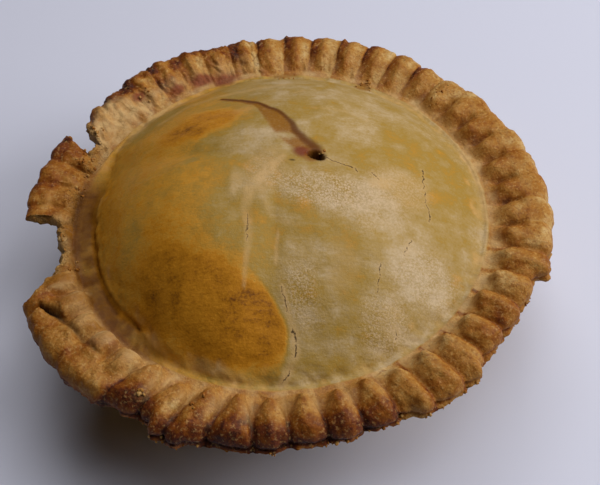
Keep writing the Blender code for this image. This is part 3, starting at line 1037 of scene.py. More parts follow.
def skin_masks(points, known):
    """The masks that the marks are blended from, each by its name."""
    masks = {name: relief(points, row) for name, row in LUMP_MASKS.items()}
    middling = masks["middling"]
    radius = np.hypot(points[:, 0], points[:, 1])
    angle = np.degrees(np.arctan2(points[:, 1], points[:, 0])) % 360.0
    height = points[:, 2]
    kind = known["kind"]
    place = known["place"]
    phase = known["phase"]
    column = known["column"]
    for name, (start, stop) in RIM_ZONES.items():
        masks[name] = stretch(column, start, stop, ZONE_SOFTNESS)
    for name, (start, width) in PLACE_RISES.items():
        masks[name] = rising(place, start, width)
    for name, (start, width) in PLACE_FALLS.items():
        masks[name] = falling(place, start, width)
    hollow_place, hollow_width = THUMB_HOLLOW
    masks["thumb_hollow"] = bell((place - hollow_place) / hollow_width)
    masks["near_end"] = rising(place + NEAR_END_WANDER * middling, *NEAR_END)

    lobe = np.where(kind == ON_LID, 0.0, np.sin(np.pi * np.clip(phase, 0.0, 1.0)))
    chance = np.random.default_rng(TONE_SEED).uniform(-TONE_CHANCE, TONE_CHANCE, CRIMP_COUNT)
    masks["tone"] = chance[known["crimp"].astype(int)]
    masks["early"] = falling(phase, *EARLY_SIDE)
    masks["late"] = rising(phase, *LATE_SIDE)
    # The rope line carries a painted shadow where one lobe overlaps the next
    line_phase, line_width = ROPE_LINE
    masks["rope_line"] = bell((phase - line_phase) / line_width)
    # The groove mask carries painted shade between the lobes
    masks["groove"] = bell(np.minimum(phase, 1.0 - phase) / GROOVE_LINE_WIDTH)
    masks["crest"] = rising(lobe, *CREST)
    masks["off_crest"] = 1.0 - lobe
    masks["inner_grooves"] = masks["inner"] * (1.0 - lobe) ** GROOVE_SHARPNESS
    between_petals = PETAL_GAP_FLOUR * (1.0 - lobe) * masks["petals"]
    late_sides = LATE_SIDE_FLOUR * masks["late"] * (1.0 - masks["outer"])
    masks["petal_gaps"] = np.maximum(between_petals, late_sides)

    on_edge = kind == ON_EDGE
    masks["lower_edge"] = on_edge * falling(height, *LOWER_EDGE)
    masks["skirt_line"] = on_edge * bell((height - SKIRT_LIP_HEIGHT) / SKIRT_LINE_WIDTH)
    masks["rightness"] = 0.5 + 0.5 * np.cos(np.radians(angle))
    past_foot = radius - lid_foot(angle)
    masks["valley"] = rising(past_foot + VALLEY_WANDER * middling, *VALLEY_START)
    masks["crease"] = crease_nearness(radius, angle)
    # Painted shade in the valley on the left, patchy
    shade = stretch(angle, *SHADE_ANGLES) * np.clip(1.0 + SHADE_WANDER * middling, 0.0, 1.0)
    masks["shade"] = shade * rising(past_foot, *SHADE_START) * falling(radius, *SHADE_END)
    return masks


def lid_marks(x, y, fine_x, fine_y, masks):
    """How far the lid and the valley round it are baked, with a painted shadow line along the crease, and how
    floury they are.
    """
    bake_and_shade = blend(LID_BAKE, masks) + patches(x, y, LID_BROWNING)
    end_y, end_x = np.array(ORANGE_ZONE_END).T
    past_end = fine_x - np.interp(fine_y, end_y, end_x)
    inside = falling(past_end, -ORANGE_ZONE_EDGE / 2.0, ORANGE_ZONE_EDGE)
    orange_bake = blend(ORANGE_BAKE, masks) + patches(x, y, ORANGE_DEEP)
    bake_and_shade = bake_and_shade + (orange_bake - bake_and_shade) * np.clip(patches(x, y, ORANGE_ZONE), 0.0, 1.0) * inside
    bake_and_shade = bake_and_shade + (blend(VALLEY_BAKE, masks) - bake_and_shade) * VALLEY_SHARE * masks["valley"]
    # Painted shadow along the crease at the lid's foot
    bake_and_shade = bake_and_shade + (CREASE_SHADOW_BAKE - bake_and_shade) * masks["crease"]
    flour = patches(x, y, LID_FLOUR) + lines(fine_x, fine_y, FLOUR_LINES, LINE_SOFTNESS)
    valley_flour = np.clip(blend(VALLEY_FLOUR, masks), 0.0, MOST_VALLEY_FLOUR)
    flour = flour + masks["valley"] * valley_flour * (1.0 - masks["shade"])
    flour = flour * (1.0 - masks["crease"]) * (1.0 - SHADE_FLOUR_LOSS * masks["shade"])
    return bake_and_shade, flour


def crimp_marks(x, y, on_rim, masks):
    """How far the crimps are baked, with painted shade in their grooves, hollows and shaded sides, and how
    floury they are.
    """
    unshaded = 1.0 - masks["shade"]
    flour = (blend(CRIMP_FLOUR, masks) + patches(x, y, RIM_FLOUR)) * unshaded
    toe_flour = np.clip(blend(TOE_FLOUR, masks), 0.0, 1.0) * masks["at_toe"] * on_rim * unshaded
    return blend(CRIMP_BAKE_AND_SHADE, masks), flour * blend(FLOUR_UNEVENNESS, masks) + toe_flour


def crust_marks(points, known):
    """Browning with painted shade, flour, glossy glaze with painted glints, juice, a painted shadow along the
    juice trail, red, painted shade in the holes and the band's crack, and torn marks, each from 0 to 1, at
    every point.
    """
    masks = skin_masks(points, known)
    wander_x, wander_y = (relief(points, row) for row in WANDER)
    x = points[:, 0] + wander_x
    y = points[:, 1] + wander_y
    fine_x = points[:, 0] + FINE_WANDER * wander_x
    fine_y = points[:, 1] + FINE_WANDER * wander_y
    masks["left"] = falling(x, *LEFT_SIDE)
    radius = np.hypot(points[:, 0], points[:, 1])
    kind = known["kind"]
    on_lid = kind == ON_LID
    on_rim = kind == ON_RIM
    crimped = on_rim | (kind == ON_EDGE)
    hidden = (kind == ON_WALL) | (kind == ON_UNDERSIDE)

    lid_bake_and_shade, lid_flour = lid_marks(x, y, fine_x, fine_y, masks)
    crimp_bake_and_shade, crimp_flour = crimp_marks(x, y, on_rim, masks)
    bake_and_shade = np.where(hidden, blend(HIDDEN_BAKE, masks), np.where(crimped, crimp_bake_and_shade, lid_bake_and_shade))
    flour = np.where(hidden, HIDDEN_FLOUR, np.where(crimped, crimp_flour, lid_flour))

    root = masks["broken_root"] * on_rim * masks["torn_root"]
    patchy_root = root * ease(0.5 + ROOT_UNEVENNESS * masks["middling"])
    crumbly = np.clip(known["torn_edge"] * crimped + patchy_root, 0.0, 1.0)
    bake_and_shade = bake_and_shade + (blend(TORN_BAKE, masks) - bake_and_shade) * crumbly
    juice = lines(fine_x, fine_y, JUICE_TRAIL, JUICE_SOFTNESS)
    juice = juice * (1.0 - patches(fine_x, fine_y, JUICE_PALE))
    # Painted shade in the steam hole, the pinholes and the band's crack
    hole_and_crack_shade = patches(fine_x, fine_y, DARK_HOLE) + patches(points[:, 0], points[:, 1], PINHOLES)
    marks = {
        "bake_and_shade": bake_and_shade,
        "flour": flour * (1.0 - juice),
        "gloss_and_glints": patches(x, y, LID_GLOSS_AND_GLINTS) * on_lid,
        "juice": juice + patches(fine_x, fine_y, ORANGE_STAINS),
        "trail_step_shadow": lines(fine_x, fine_y, TRAIL_STEP_SHADOW, LINE_SOFTNESS),
        "shade": masks["shade"] * (on_lid | on_rim),
        "red": patches(fine_x, fine_y, RED_STAINS) + patches(fine_x, fine_y, JELLY_SPOT),
        "hole_and_crack_shade": hole_and_crack_shade + CRACK_DARKNESS * crack_depth(radius, known["column"]) * on_rim,
        "torn": crumbly,
        "on_crimps": crimped + 0.0,
    }
    return {name: np.clip(values, 0.0, 1.0) for name, values in marks.items()}


# Relief of the crust: height, size of the largest lumps, layers and seed
LID_SWELL = (0.30, 16.0, 2, 81)
LID_GRAIN = (1.00, 3.6, 3, 83)
LID_GRAIN_HEIGHT = 0.12
FOOT_GRAIN_HEIGHT = 0.30
FOOT_REACH = 4.0
CRIMP_LUMPS = (1.00, 5.0, 3, 91)
CRIMP_GRAIN = (0.22, 1.7, 2, 95)
CRIMP_FINE_GRAIN = (0.10, 1.2, 1, 97)
FLAKE_LEVELS = (2.2, 4.5, 2, 131)
FLAKE_EDGE = 0.3
FLAKE_HEIGHT = 0.8
TORN_CRUMB = (0.8, 2.4, 3, 101)
SKIRT_CRUMB = (0.8, 2.6, 3, 111)
SKIRT_CRUMB_WIDTH = 1.2
CASE_RELIEF = (0.25, 9.0, 2, 121)

# How the grain is drawn out along the crimps: outwards, around and upwards
GRAIN_STRETCH = (0.3, 80.0, 0.8)
GROOVE_DEPTH = 0.55
GROOVE_WIDTH = 0.06
GROOVE_RISE_SHARE = 0.3
TOE_BLEND = (-0.012, 0.08)
STILL_FOOT_HEIGHT = 6.0

# How coarse the crimps' lumps are all round, and how much coarser in places
CRIMP_COARSENESS = 0.30
COARSENESS_SOFTNESS = 6.0
COARSENESS = (
    (98.0, 149.0, 0.50),
    (150.0, 204.0, 0.12),
    (205.0, 234.0, 0.05),
    (236.0, 262.0, 0.10),
    (264.0, 340.0, -0.05),
    (349.0, 42.0, -0.16),
)


def crimp_relief(points, known, radius):
    """The crimps' relief: lumps, grain drawn out along them, flakes in steps and sunk grooves."""
    column = known["column"]
    place = known["place"]
    phase = known["phase"]
    outwards, around, upwards = GRAIN_STRETCH
    drawn_out = np.stack([radius * outwards, np.radians(column) * around, points[:, 2] * upwards], axis=1)
    coarse = CRIMP_COARSENESS + stretches(column, COARSENESS, COARSENESS_SOFTNESS)
    moves = coarse * relief(points, CRIMP_LUMPS) + relief(drawn_out, CRIMP_GRAIN)
    moves = moves + relief(points, CRIMP_FINE_GRAIN)
    level = relief(drawn_out, FLAKE_LEVELS)
    steps = np.floor(level) + ease((level - np.floor(level)) / FLAKE_EDGE)
    moves = moves + FLAKE_HEIGHT * coarse * (steps - level)
    groove = bell(np.minimum(phase, 1.0 - phase) / GROOVE_WIDTH)
    smooth = stretches(column, SMOOTH_BANDS, SMOOTH_BAND_END_SOFTNESS)
    smooth = np.clip(smooth * rising(place, *PLACE_RISES["past_middle"]), 0.0, 1.0)
    return moves - GROOVE_DEPTH * groove * (1.0 - smooth) * ease(place / GROOVE_RISE_SHARE)


def roughened(points, faces, known):
    """The skin moved along its normals by lumps: gentle on the lid, crumbly on crimps and tears."""
    kind = known["kind"]
    height = points[:, 2]
    radius = np.hypot(points[:, 0], points[:, 1])
    on_edge = kind == ON_EDGE
    crimped = (kind == ON_RIM) | on_edge
    foot = bell((radius - lid_foot(known["column"])) / FOOT_REACH)
    grain = (LID_GRAIN_HEIGHT + FOOT_GRAIN_HEIGHT * foot) * relief(points, LID_GRAIN)
    lid_moves = relief(points, LID_SWELL) + grain
    crimp_moves = crimp_relief(points, known, radius)
    fade = np.where(kind == ON_RIM, rising(known["place"], *TOE_BLEND), 1.0)
    moves = np.where(kind == ON_LID, lid_moves, relief(points, CASE_RELIEF))
    moves = np.where(crimped, lid_moves + (crimp_moves - lid_moves) * fade, moves)
    skirt = on_edge * bell((height - SKIRT_LIP_HEIGHT) / SKIRT_CRUMB_WIDTH)
    moves = moves + relief(points, TORN_CRUMB) * known["torn_edge"] + relief(points, SKIRT_CRUMB) * skirt
    moves = moves * ease(height / STILL_FOOT_HEIGHT)
    return points + face_normals(points, faces) * moves[:, None]


def mesh_piece(name, points, faces, marks, material):
    """Makes a mesh object from arrays in millimetres, with its marks as point attributes."""
    mesh = bpy.data.meshes.new(name)
    mesh.vertices.add(len(points))
    mesh.vertices.foreach_set("co", (points * MM).astype(np.float32).ravel())
    mesh.loops.add(faces.size)
    mesh.loops.foreach_set("vertex_index", faces.astype(np.int32).ravel())
    mesh.polygons.add(len(faces))
    mesh.polygons.foreach_set("loop_start", np.arange(0, faces.size, 3, dtype=np.int32))
    mesh.update(calc_edges=True)
    mesh.validate()
    for mark, values in marks.items():
        layer = mesh.attributes.new(mark, "FLOAT", "POINT")
        layer.data.foreach_set("value", values.astype(np.float32))
    mesh.materials.append(material)
    mesh.shade_smooth()
    piece = bpy.data.objects.new(name, mesh)
    bpy.context.scene.collection.objects.link(piece)
    return piece


class Nodes:
    """Short calls for making and joining a tree's nodes."""

    def __init__(self, tree):
        self.tree = tree

    def feed(self, socket, value):
        """Joins a socket to another, or sets its value."""
        if isinstance(value, bpy.types.NodeSocket):
            self.tree.links.new(value, socket)
        else:
            socket.default_value = value

    def math(self, operation, first, second=0.0, third=0.0, clamp=False):
        """One maths node."""
        node = self.tree.nodes.new("ShaderNodeMath")
        node.operation = operation
        node.use_clamp = clamp
        for socket, value in zip(node.inputs, (first, second, third)):
            self.feed(socket, value)
        return node.outputs[0]

    def vector_math(self, operation, first, second):
        """One vector maths node; its value for a dot product or a length, else its vector."""
        node = self.tree.nodes.new("ShaderNodeVectorMath")
        node.operation = operation
        self.feed(node.inputs[0], first)
        if second is not None:
            self.feed(node.inputs[1], second)
        return node.outputs["Value" if operation in ("DOT_PRODUCT", "LENGTH") else "Vector"]

    def mark(self, name):
        """One of the skin's marks."""
        node = self.tree.nodes.new("ShaderNodeAttribute")
        node.attribute_name = name
        return node.outputs["Fac"]

    def noise(self, place, scale, detail, distortion=0.0):
        """Smooth noise from 0 to 1."""
        node = self.tree.nodes.new("ShaderNodeTexNoise")
        self.feed(node.inputs["Vector"], place)
        node.inputs["Scale"].default_value = scale
        node.inputs["Detail"].default_value = detail
        node.inputs["Distortion"].default_value = distortion
        return node.outputs["Fac"]

    def mix(self, share, first, second):
        """Two colours mixed."""
        node = self.tree.nodes.new("ShaderNodeMix")
        node.data_type = "RGBA"
        self.feed(node.inputs[0], share)
        self.feed(node.inputs[6], first)
        self.feed(node.inputs[7], second)
        return node.outputs[2]

    def between(self, value, low, high, low_out=0.0, high_out=1.0):
        """A value mapped from one range to another and held there."""
        node = self.tree.nodes.new("ShaderNodeMapRange")
        for socket, number in zip(node.inputs, (value, low, high, low_out, high_out)):
            self.feed(socket, number)
        return node.outputs[0]

    def ramp(self, value, colours):
        """A colour read from rows of positions and colours."""
        node = self.tree.nodes.new("ShaderNodeValToRGB")
        self.feed(node.inputs["Fac"], value)
        elements = node.color_ramp.elements
        for position, colour in colours[1:-1]:
            elements.new(position).color = colour
        elements[0].color = colours[0][1]
        elements[-1].color = colours[-1][1]
        return node.outputs["Color"]

    def bump(self, height, distance, strength):
        """A normal bent by a height in millimetres."""
        node = self.tree.nodes.new("ShaderNodeBump")
        node.inputs["Distance"].default_value = distance * MM
        node.inputs["Strength"].default_value = strength
        self.feed(node.inputs["Height"], height)
        return node.outputs["Normal"]


def srgb(red, green, blue):
    """A linear colour from the 0 to 255 values of a screen."""
    values = np.array([red, green, blue]) / 255.0
    linear = np.where(values <= 0.04045, values / 12.92, ((values + 0.055) / 1.055) ** 2.4)
    return (*linear.tolist(), 1.0)


# The crust's colours by how far it is baked, or deepened by painted shade, on the glazed lid and on the dry
# crimps
LID_COLOURS = (
    (0.00, srgb(192, 166, 130)),
    (0.15, srgb(177, 151, 110)),
    (0.28, srgb(163, 134, 80)),
    (0.40, srgb(155, 123, 55)),
    (0.50, srgb(167, 124, 47)),
    (0.60, srgb(185, 132, 45)),
    (0.70, srgb(183, 121, 28)),
    (0.82, srgb(162, 104, 20)),
    (0.92, srgb(112, 66, 18)),
    (1.00, srgb(62, 32, 14)),
)
CRIMP_COLOURS = (
    (0.00, srgb(200, 170, 122)),
    (0.20, srgb(184, 146, 88)),
    (0.36, srgb(166, 118, 56)),
    (0.50, srgb(158, 105, 42)),
    (0.62, srgb(142, 85, 26)),
    (0.74, srgb(124, 66, 16)),
    (0.86, srgb(96, 44, 18)),
    (1.00, srgb(56, 24, 14)),
)
FLOUR_COLOUR = srgb(192, 156, 104)
# The deep olive of painted shade in the valley on the left
VALLEY_SHADE_COLOUR = srgb(92, 52, 6)
# The colour of painted glints on the glossy lid
GLINT_COLOUR = srgb(204, 175, 142)
JUICE_COLOUR = srgb(138, 86, 16)
# The colour of the painted shadow along the juice trail's edge
TRAIL_STEP_SHADOW_COLOUR = srgb(88, 44, 8)
RED_COLOUR = srgb(110, 38, 24)
# The near black of painted shade in the holes and the band's crack
HOLE_AND_CRACK_SHADE_COLOUR = srgb(28, 10, 6)
CRACK_COLOUR = srgb(60, 42, 24)
# Deep brown specks of painted shade in pockmarks, and pale grain specks that are partly crumbs, partly
# painted glints
PIT_SHADE_COLOUR = srgb(116, 62, 18)
CRUMB_AND_GLINT_COLOUR = srgb(206, 164, 100)

# Hairline cracks on the lid: points in millimetres and width
HAIRLINES = (
    (((15.3, 1.2), (19.1, -0.6), (24.2, -1.9), (25.7, -3.8)), 0.24),
    (((30.2, -2.7), (32.3, -5.5)), 0.20),
    (((46.9, 4.6), (47.1, -3.1), (47.6, -10.2), (48.2, -16.3)), 0.20),
    (((41.3, -25.0), (40.1, -28.6), (39.4, -30.7)), 0.24),
    (((31.5, -35.5), (31.0, -39.9), (30.2, -43.3)), 0.20),
    (((36.0, -52.5), (35.6, -54.6)), 0.24),
    (((1.5, -43.4), (2.9, -49.9)), 0.20),
    (((4.4, -54.7), (5.4, -59.5), (5.0, -61.5)), 0.30),
    (((3.6, -65.0), (1.2, -68.3)), 0.26),
    (((-8.8, -22.0), (-9.0, -31.0)), 0.18),
)


# Patterns in the crust: scale, detail and distortion of the noise
SPECKLE = (1.2, 4.0)
MOTTLE = (0.28, 4.0, 0.6)
STROKES = (0.8, 3.0, 0.5)
STROKES_STRETCH = (0.22, 1.0, 0.6)
# Glints are painted highlights; on the crimps, the pockmark pattern is painted shade and the pale grain
# specks partly painted glints
GLINTS = (1.5, 3.0, 0.4)
PITS = (0.9, 4.0)
GRAINS = (1.0, 3.0)
GRAINS_SHIFT = (40.0, 0.0, 0.0)
LEATHER = (1.3, 3.0, 0.6)
FINE_CRUMB = (1.6, 4.0)
CRACK_GAPS = (0.9, 2.0)
WOBBLE_SCALE = 0.45
WOBBLE_DETAIL = 3.0
WOBBLE_REACH = (2.6, 2.6, 0.0)
WRINKLE_SCALE = 0.85

# What a pattern is turned into: its values at two ends, and the results there
GLINT_RANGE = (0.45, 0.60, 0.0, 0.72)
PIT_RANGE = (0.52, 0.68, 0.0, 0.55)
GRAIN_RANGE = (0.55, 0.70, 0.0, 0.35)
PATCHY_FLOUR_RANGE = (0.35, 0.62, 0.50, 1.0)
PATCHY_SHADE_RANGE = (0.3, 0.7, 1.0, 0.80)
PATCHY_JUICE_RANGE = (0.3, 0.5, 0.75, 1.0)
CRACK_RANGE = (0.35, 1.0, 1.0, 0.0)
CRACK_BORDER_RANGE = (1.0, 5.0, 1.0, 0.0)
CRACK_GAP_RANGE = (0.36, 0.50)
WRINKLE_RANGE = (0.0, 0.12)

# How strong a pattern is on the lid and on the crimps
SPECKLE_SHARES = (0.28, 0.34)
STROKES_SHARES = (0.20, 0.0)
MOTTLE_SHARES = (0.22, 0.40)

# How far a mark covers the colour under it
JUICE_COVER = 0.88
TRAIL_STEP_SHADOW_COVER = 0.85
RED_COVER = 0.8
CRACK_BORDER_COVER = 0.30
CRACK_COVER = 0.9

# Roughness of the dull and the glossy lid, what else is added to it, and the coat of glaze
LID_ROUGHNESS = (0.50, 0.36)
CRIMP_ROUGHNESS = 0.10
FLOUR_ROUGHNESS = 0.25
TORN_ROUGHNESS = 0.35
GLOSS_COAT = 0.25
JUICE_COAT = 0.06
CRIMP_COAT = 0.06
COAT_ROUGHNESS = 0.22
SPECULAR_LEVEL = 0.1

# Heights of the finest relief
LEATHER_HEIGHT = 0.13
STROKES_HEIGHT = 0.12
WRINKLE_HEIGHT = 0.07
CRIMP_CRUMB_HEIGHT = 0.26
TORN_CRUMB_HEIGHT = 0.8


def hairline_group():
    """A node group: how near a place is to a straight crack from A to B, and a border round it."""
    tree = bpy.data.node_groups.new("hairline", "ShaderNodeTree")
    for name, kind in (("Place", "NodeSocketVector"), ("A", "NodeSocketVector"), ("B", "NodeSocketVector"),
                       ("Width", "NodeSocketFloat")):
        tree.interface.new_socket(name, in_out="INPUT", socket_type=kind)
    tree.interface.new_socket("Mask", in_out="OUTPUT", socket_type="NodeSocketFloat")
    tree.interface.new_socket("Border", in_out="OUTPUT", socket_type="NodeSocketFloat")
    given = tree.nodes.new("NodeGroupInput").outputs
    n = Nodes(tree)
    from_a = n.vector_math("SUBTRACT", given["Place"], given["A"])
    run = n.vector_math("SUBTRACT", given["B"], given["A"])
    along = n.vector_math("DOT_PRODUCT", from_a, run)
    whole = n.vector_math("DOT_PRODUCT", run, run)
    share = n.between(n.math("DIVIDE", along, whole), 0.0, 1.0)
    scale = n.tree.nodes.new("ShaderNodeVectorMath")
    scale.operation = "SCALE"
    n.feed(scale.inputs[0], run)
    n.feed(scale.inputs["Scale"], share)
    away = n.vector_math("LENGTH", n.vector_math("SUBTRACT", from_a, scale.outputs["Vector"]), None)
    away = n.math("DIVIDE", away, given["Width"])
    result = tree.nodes.new("NodeGroupOutput").inputs
    n.feed(result["Mask"], n.between(away, *CRACK_RANGE))
    n.feed(result["Border"], n.between(away, *CRACK_BORDER_RANGE))
    return tree


def crust_material():
    """Baked pastry: browning, flour, egg glaze, juice stains, hairline cracks and crumb, with painted shade,
    shadow lines and glints.
    """
    material = bpy.data.materials.new("baked_pastry")
    material.use_nodes = True
    tree = material.node_tree
    shader = tree.nodes["Principled BSDF"]
    n = Nodes(tree)
    place = n.vector_math("MULTIPLY", tree.nodes.new("ShaderNodeTexCoord").outputs["Object"], (1000.0,) * 3)
    crimps = n.mark("on_crimps")
    gloss_and_glints = n.mark("gloss_and_glints")
    torn = n.mark("torn")

    speckle = n.noise(place, *SPECKLE)
    mottle = n.noise(place, *MOTTLE)
    strokes = n.noise(n.vector_math("MULTIPLY", place, STROKES_STRETCH), *STROKES)
    bake_and_shade = n.mark("bake_and_shade")
    for pattern, shares in ((speckle, SPECKLE_SHARES), (strokes, STROKES_SHARES), (mottle, MOTTLE_SHARES)):
        amount = n.between(crimps, 0.0, 1.0, *shares)
        bake_and_shade = n.math("MULTIPLY_ADD", n.math("SUBTRACT", pattern, 0.5), amount, bake_and_shade)
    bake_and_shade = n.math("MULTIPLY", bake_and_shade, 1.0, clamp=True)
    colour = n.mix(crimps, n.ramp(bake_and_shade, LID_COLOURS), n.ramp(bake_and_shade, CRIMP_COLOURS))
    # Painted glints: pale specks on the glossy patches of the lid
    glints = n.between(n.noise(place, *GLINTS), *GLINT_RANGE)
    colour = n.mix(n.math("MULTIPLY", gloss_and_glints, glints), colour, GLINT_COLOUR)
    # Painted shade: deep brown specks for pockmarks in the crimps
    pit_shade = n.between(n.noise(place, *PITS), *PIT_RANGE)
    colour = n.mix(n.math("MULTIPLY", pit_shade, crimps), colour, PIT_SHADE_COLOUR)
    # Pale grain specks on the crimps: partly crumbs, partly painted glints
    grains_and_glints = n.noise(n.vector_math("ADD", place, GRAINS_SHIFT), *GRAINS)
    grains_and_glints = n.between(grains_and_glints, *GRAIN_RANGE)
    colour = n.mix(n.math("MULTIPLY", grains_and_glints, crimps), colour, CRUMB_AND_GLINT_COLOUR)

    patchy = n.between(mottle, *PATCHY_FLOUR_RANGE)
    flour = n.math("MULTIPLY", n.mark("flour"), patchy, clamp=True)
    colour = n.mix(flour, colour, FLOUR_COLOUR)
    # Painted shade: the valley on the left turned towards deep olive
    shade = n.math("MULTIPLY", n.mark("shade"), n.between(mottle, *PATCHY_SHADE_RANGE))
    colour = n.mix(shade, colour, VALLEY_SHADE_COLOUR)
    juice = n.math("MULTIPLY", n.mark("juice"), n.between(speckle, *PATCHY_JUICE_RANGE))
    colour = n.mix(n.math("MULTIPLY", juice, JUICE_COVER), colour, JUICE_COLOUR)
    # Painted shadow along the juice trail's upper-right edge
    colour = n.mix(n.math("MULTIPLY", n.mark("trail_step_shadow"), TRAIL_STEP_SHADOW_COVER), colour, TRAIL_STEP_SHADOW_COLOUR)
    colour = n.mix(n.math("MULTIPLY", n.mark("red"), RED_COVER), colour, RED_COLOUR)

    flat = n.vector_math("MULTIPLY", place, (1.0, 1.0, 0.0))
    wobble = tree.nodes.new("ShaderNodeTexNoise")
    n.feed(wobble.inputs["Vector"], flat)
    wobble.inputs["Scale"].default_value = WOBBLE_SCALE
    wobble.inputs["Detail"].default_value = WOBBLE_DETAIL
    shift = n.vector_math("SUBTRACT", wobble.outputs["Color"], (0.5, 0.5, 0.5))
    shift = n.vector_math("MULTIPLY", shift, WOBBLE_REACH)
    wandering = n.vector_math("ADD", flat, shift)
    line_group = hairline_group()
    cracks = None
    borders = None
    for points, width in HAIRLINES:
        for start, stop in zip(points, points[1:]):
            node = tree.nodes.new("ShaderNodeGroup")
            node.node_tree = line_group
            n.feed(node.inputs["Place"], wandering)
            n.feed(node.inputs["A"], (*start, 0.0))
            n.feed(node.inputs["B"], (*stop, 0.0))
            n.feed(node.inputs["Width"], width)
            mask = node.outputs["Mask"]
            border = node.outputs["Border"]
            cracks = mask if cracks is None else n.math("MAXIMUM", cracks, mask)
            borders = border if borders is None else n.math("MAXIMUM", borders, border)
    gaps = n.between(n.noise(place, *CRACK_GAPS), *CRACK_GAP_RANGE)
    cracks = n.math("MULTIPLY", cracks, gaps)
    colour = n.mix(n.math("MULTIPLY", borders, CRACK_BORDER_COVER), colour, FLOUR_COLOUR)
    colour = n.mix(n.math("MULTIPLY", cracks, CRACK_COVER), colour, CRACK_COLOUR)
    # Painted shade: near black in the holes and the band's crack
    colour = n.mix(n.mark("hole_and_crack_shade"), colour, HOLE_AND_CRACK_SHADE_COLOUR)
    n.feed(shader.inputs["Base Color"], colour)

    rough_lid = n.between(gloss_and_glints, 0.0, 1.0, *LID_ROUGHNESS)
    roughness = n.math("MULTIPLY_ADD", crimps, CRIMP_ROUGHNESS, rough_lid)
    roughness = n.math("MULTIPLY_ADD", flour, FLOUR_ROUGHNESS, roughness)
    roughness = n.math("MULTIPLY_ADD", torn, TORN_ROUGHNESS, roughness, clamp=True)
    n.feed(shader.inputs["Roughness"], roughness)
    coat = n.math("MULTIPLY_ADD", juice, JUICE_COAT, n.math("MULTIPLY", gloss_and_glints, GLOSS_COAT))
    n.feed(shader.inputs["Coat Weight"], n.math("MULTIPLY_ADD", crimps, CRIMP_COAT, coat))
    shader.inputs["Coat Roughness"].default_value = COAT_ROUGHNESS
    shader.inputs["Specular IOR Level"].default_value = SPECULAR_LEVEL

    leather = n.noise(place, *LEATHER)
    wrinkle = tree.nodes.new("ShaderNodeTexVoronoi")
    wrinkle.feature = "DISTANCE_TO_EDGE"
    n.feed(wrinkle.inputs["Vector"], n.vector_math("ADD", place, wobble.outputs["Color"]))
    wrinkle.inputs["Scale"].default_value = WRINKLE_SCALE
    wrinkles = n.between(wrinkle.outputs["Distance"], *WRINKLE_RANGE)
    crumb = n.noise(place, *FINE_CRUMB)
    height = n.math("MULTIPLY", leather, LEATHER_HEIGHT)
    height = n.math("MULTIPLY_ADD", strokes, STROKES_HEIGHT, height)
    height = n.math("MULTIPLY_ADD", n.math("MULTIPLY", wrinkles, gloss_and_glints), WRINKLE_HEIGHT, height)
    height = n.math("MULTIPLY_ADD", n.math("MULTIPLY", crumb, crimps), CRIMP_CRUMB_HEIGHT, height)
    height = n.math("MULTIPLY_ADD", n.math("MULTIPLY", crumb, torn), TORN_CRUMB_HEIGHT, height)
    n.feed(shader.inputs["Normal"], n.bump(height, 1.0, 1.0))
    return material


def plain_material(name, colour, roughness):
    """A plain material of one colour."""
    material = bpy.data.materials.new(name)
    material.use_nodes = True
    shader = material.node_tree.nodes["Principled BSDF"]
    shader.inputs["Base Color"].default_value = colour
    shader.inputs["Roughness"].default_value = roughness
    return material


# Crumbs and flakes that cling to the crust: x, y, reach, how many and their size
CRUMB_PATCHES = (
    (-68.5, 24.0, 4.5, 16, 0.8),
    (-70.0, 12.0, 3.0, 9, 0.7),
    (-72.5, -12.0, 2.5, 9, 0.7),
    (-66.5, -22.0, 3.5, 9, 0.7),
    (-66.0, 38.0, 3.0, 8, 0.8),
    (-50.0, 57.0, 3.0, 7, 0.5),
    (30.0, 61.0, 3.0, 9, 0.8),
    (1.0, 66.0, 4.0, 6, 0.5),
    (14.6, 3.2, 1.2, 3, 0.6),
    (-42.0, -73.0, 3.0, 5, 0.9),
    (-24.0, -77.0, 3.0, 4, 0.9),
    (56.0, 52.0, 5.0, 8, 0.6),
)
SKIRT_CRUMBS = (238.0, 344.0, 70, 0.75)
CRUMB_SEED = 23
CRUMB_SINKING = 0.25

# The least and the most of what the crumbs differ by
CRUMB_SIZES = (0.4, 1.0)
SKIRT_CRUMB_SIZES = (0.3, 1.0)
CRUMB_CORNERS = (0.7, 1.3)
CRUMB_SIDES = (0.5, 1.3)
CRUMB_BAKES = (0.25, 0.70)
SKIRT_CRUMB_REACH = 0.8


def crumb_shape():
    """A small ball: an octahedron's corners and edge middles pushed out to length 1, in 32 triangles."""
    corners = np.array([[1, 0, 0], [0, 1, 0], [-1, 0, 0], [0, -1, 0], [0, 0, 1], [0, 0, -1]], float)
    sides = np.array([[0, 1, 4], [1, 2, 4], [2, 3, 4], [3, 0, 4], [1, 0, 5], [2, 1, 5], [3, 2, 5], [0, 3, 5]])
    pairs = np.sort(np.concatenate([sides[:, [0, 1]], sides[:, [1, 2]], sides[:, [2, 0]]]), axis=1)
    edges, which = np.unique(pairs, axis=0, return_inverse=True)
    middles = corners[edges].mean(axis=1)
    middles = middles / np.linalg.norm(middles, axis=1, keepdims=True)
    ab, bc, ca = which.reshape(3, -1) + len(corners)
    a, b, c = sides.T
    quarters = ((a, ab, ca), (ab, b, bc), (ca, bc, c), (ab, bc, ca))
    triangles = np.concatenate([np.stack(rows, axis=1) for rows in quarters])
    return np.concatenate([corners, middles]), triangles


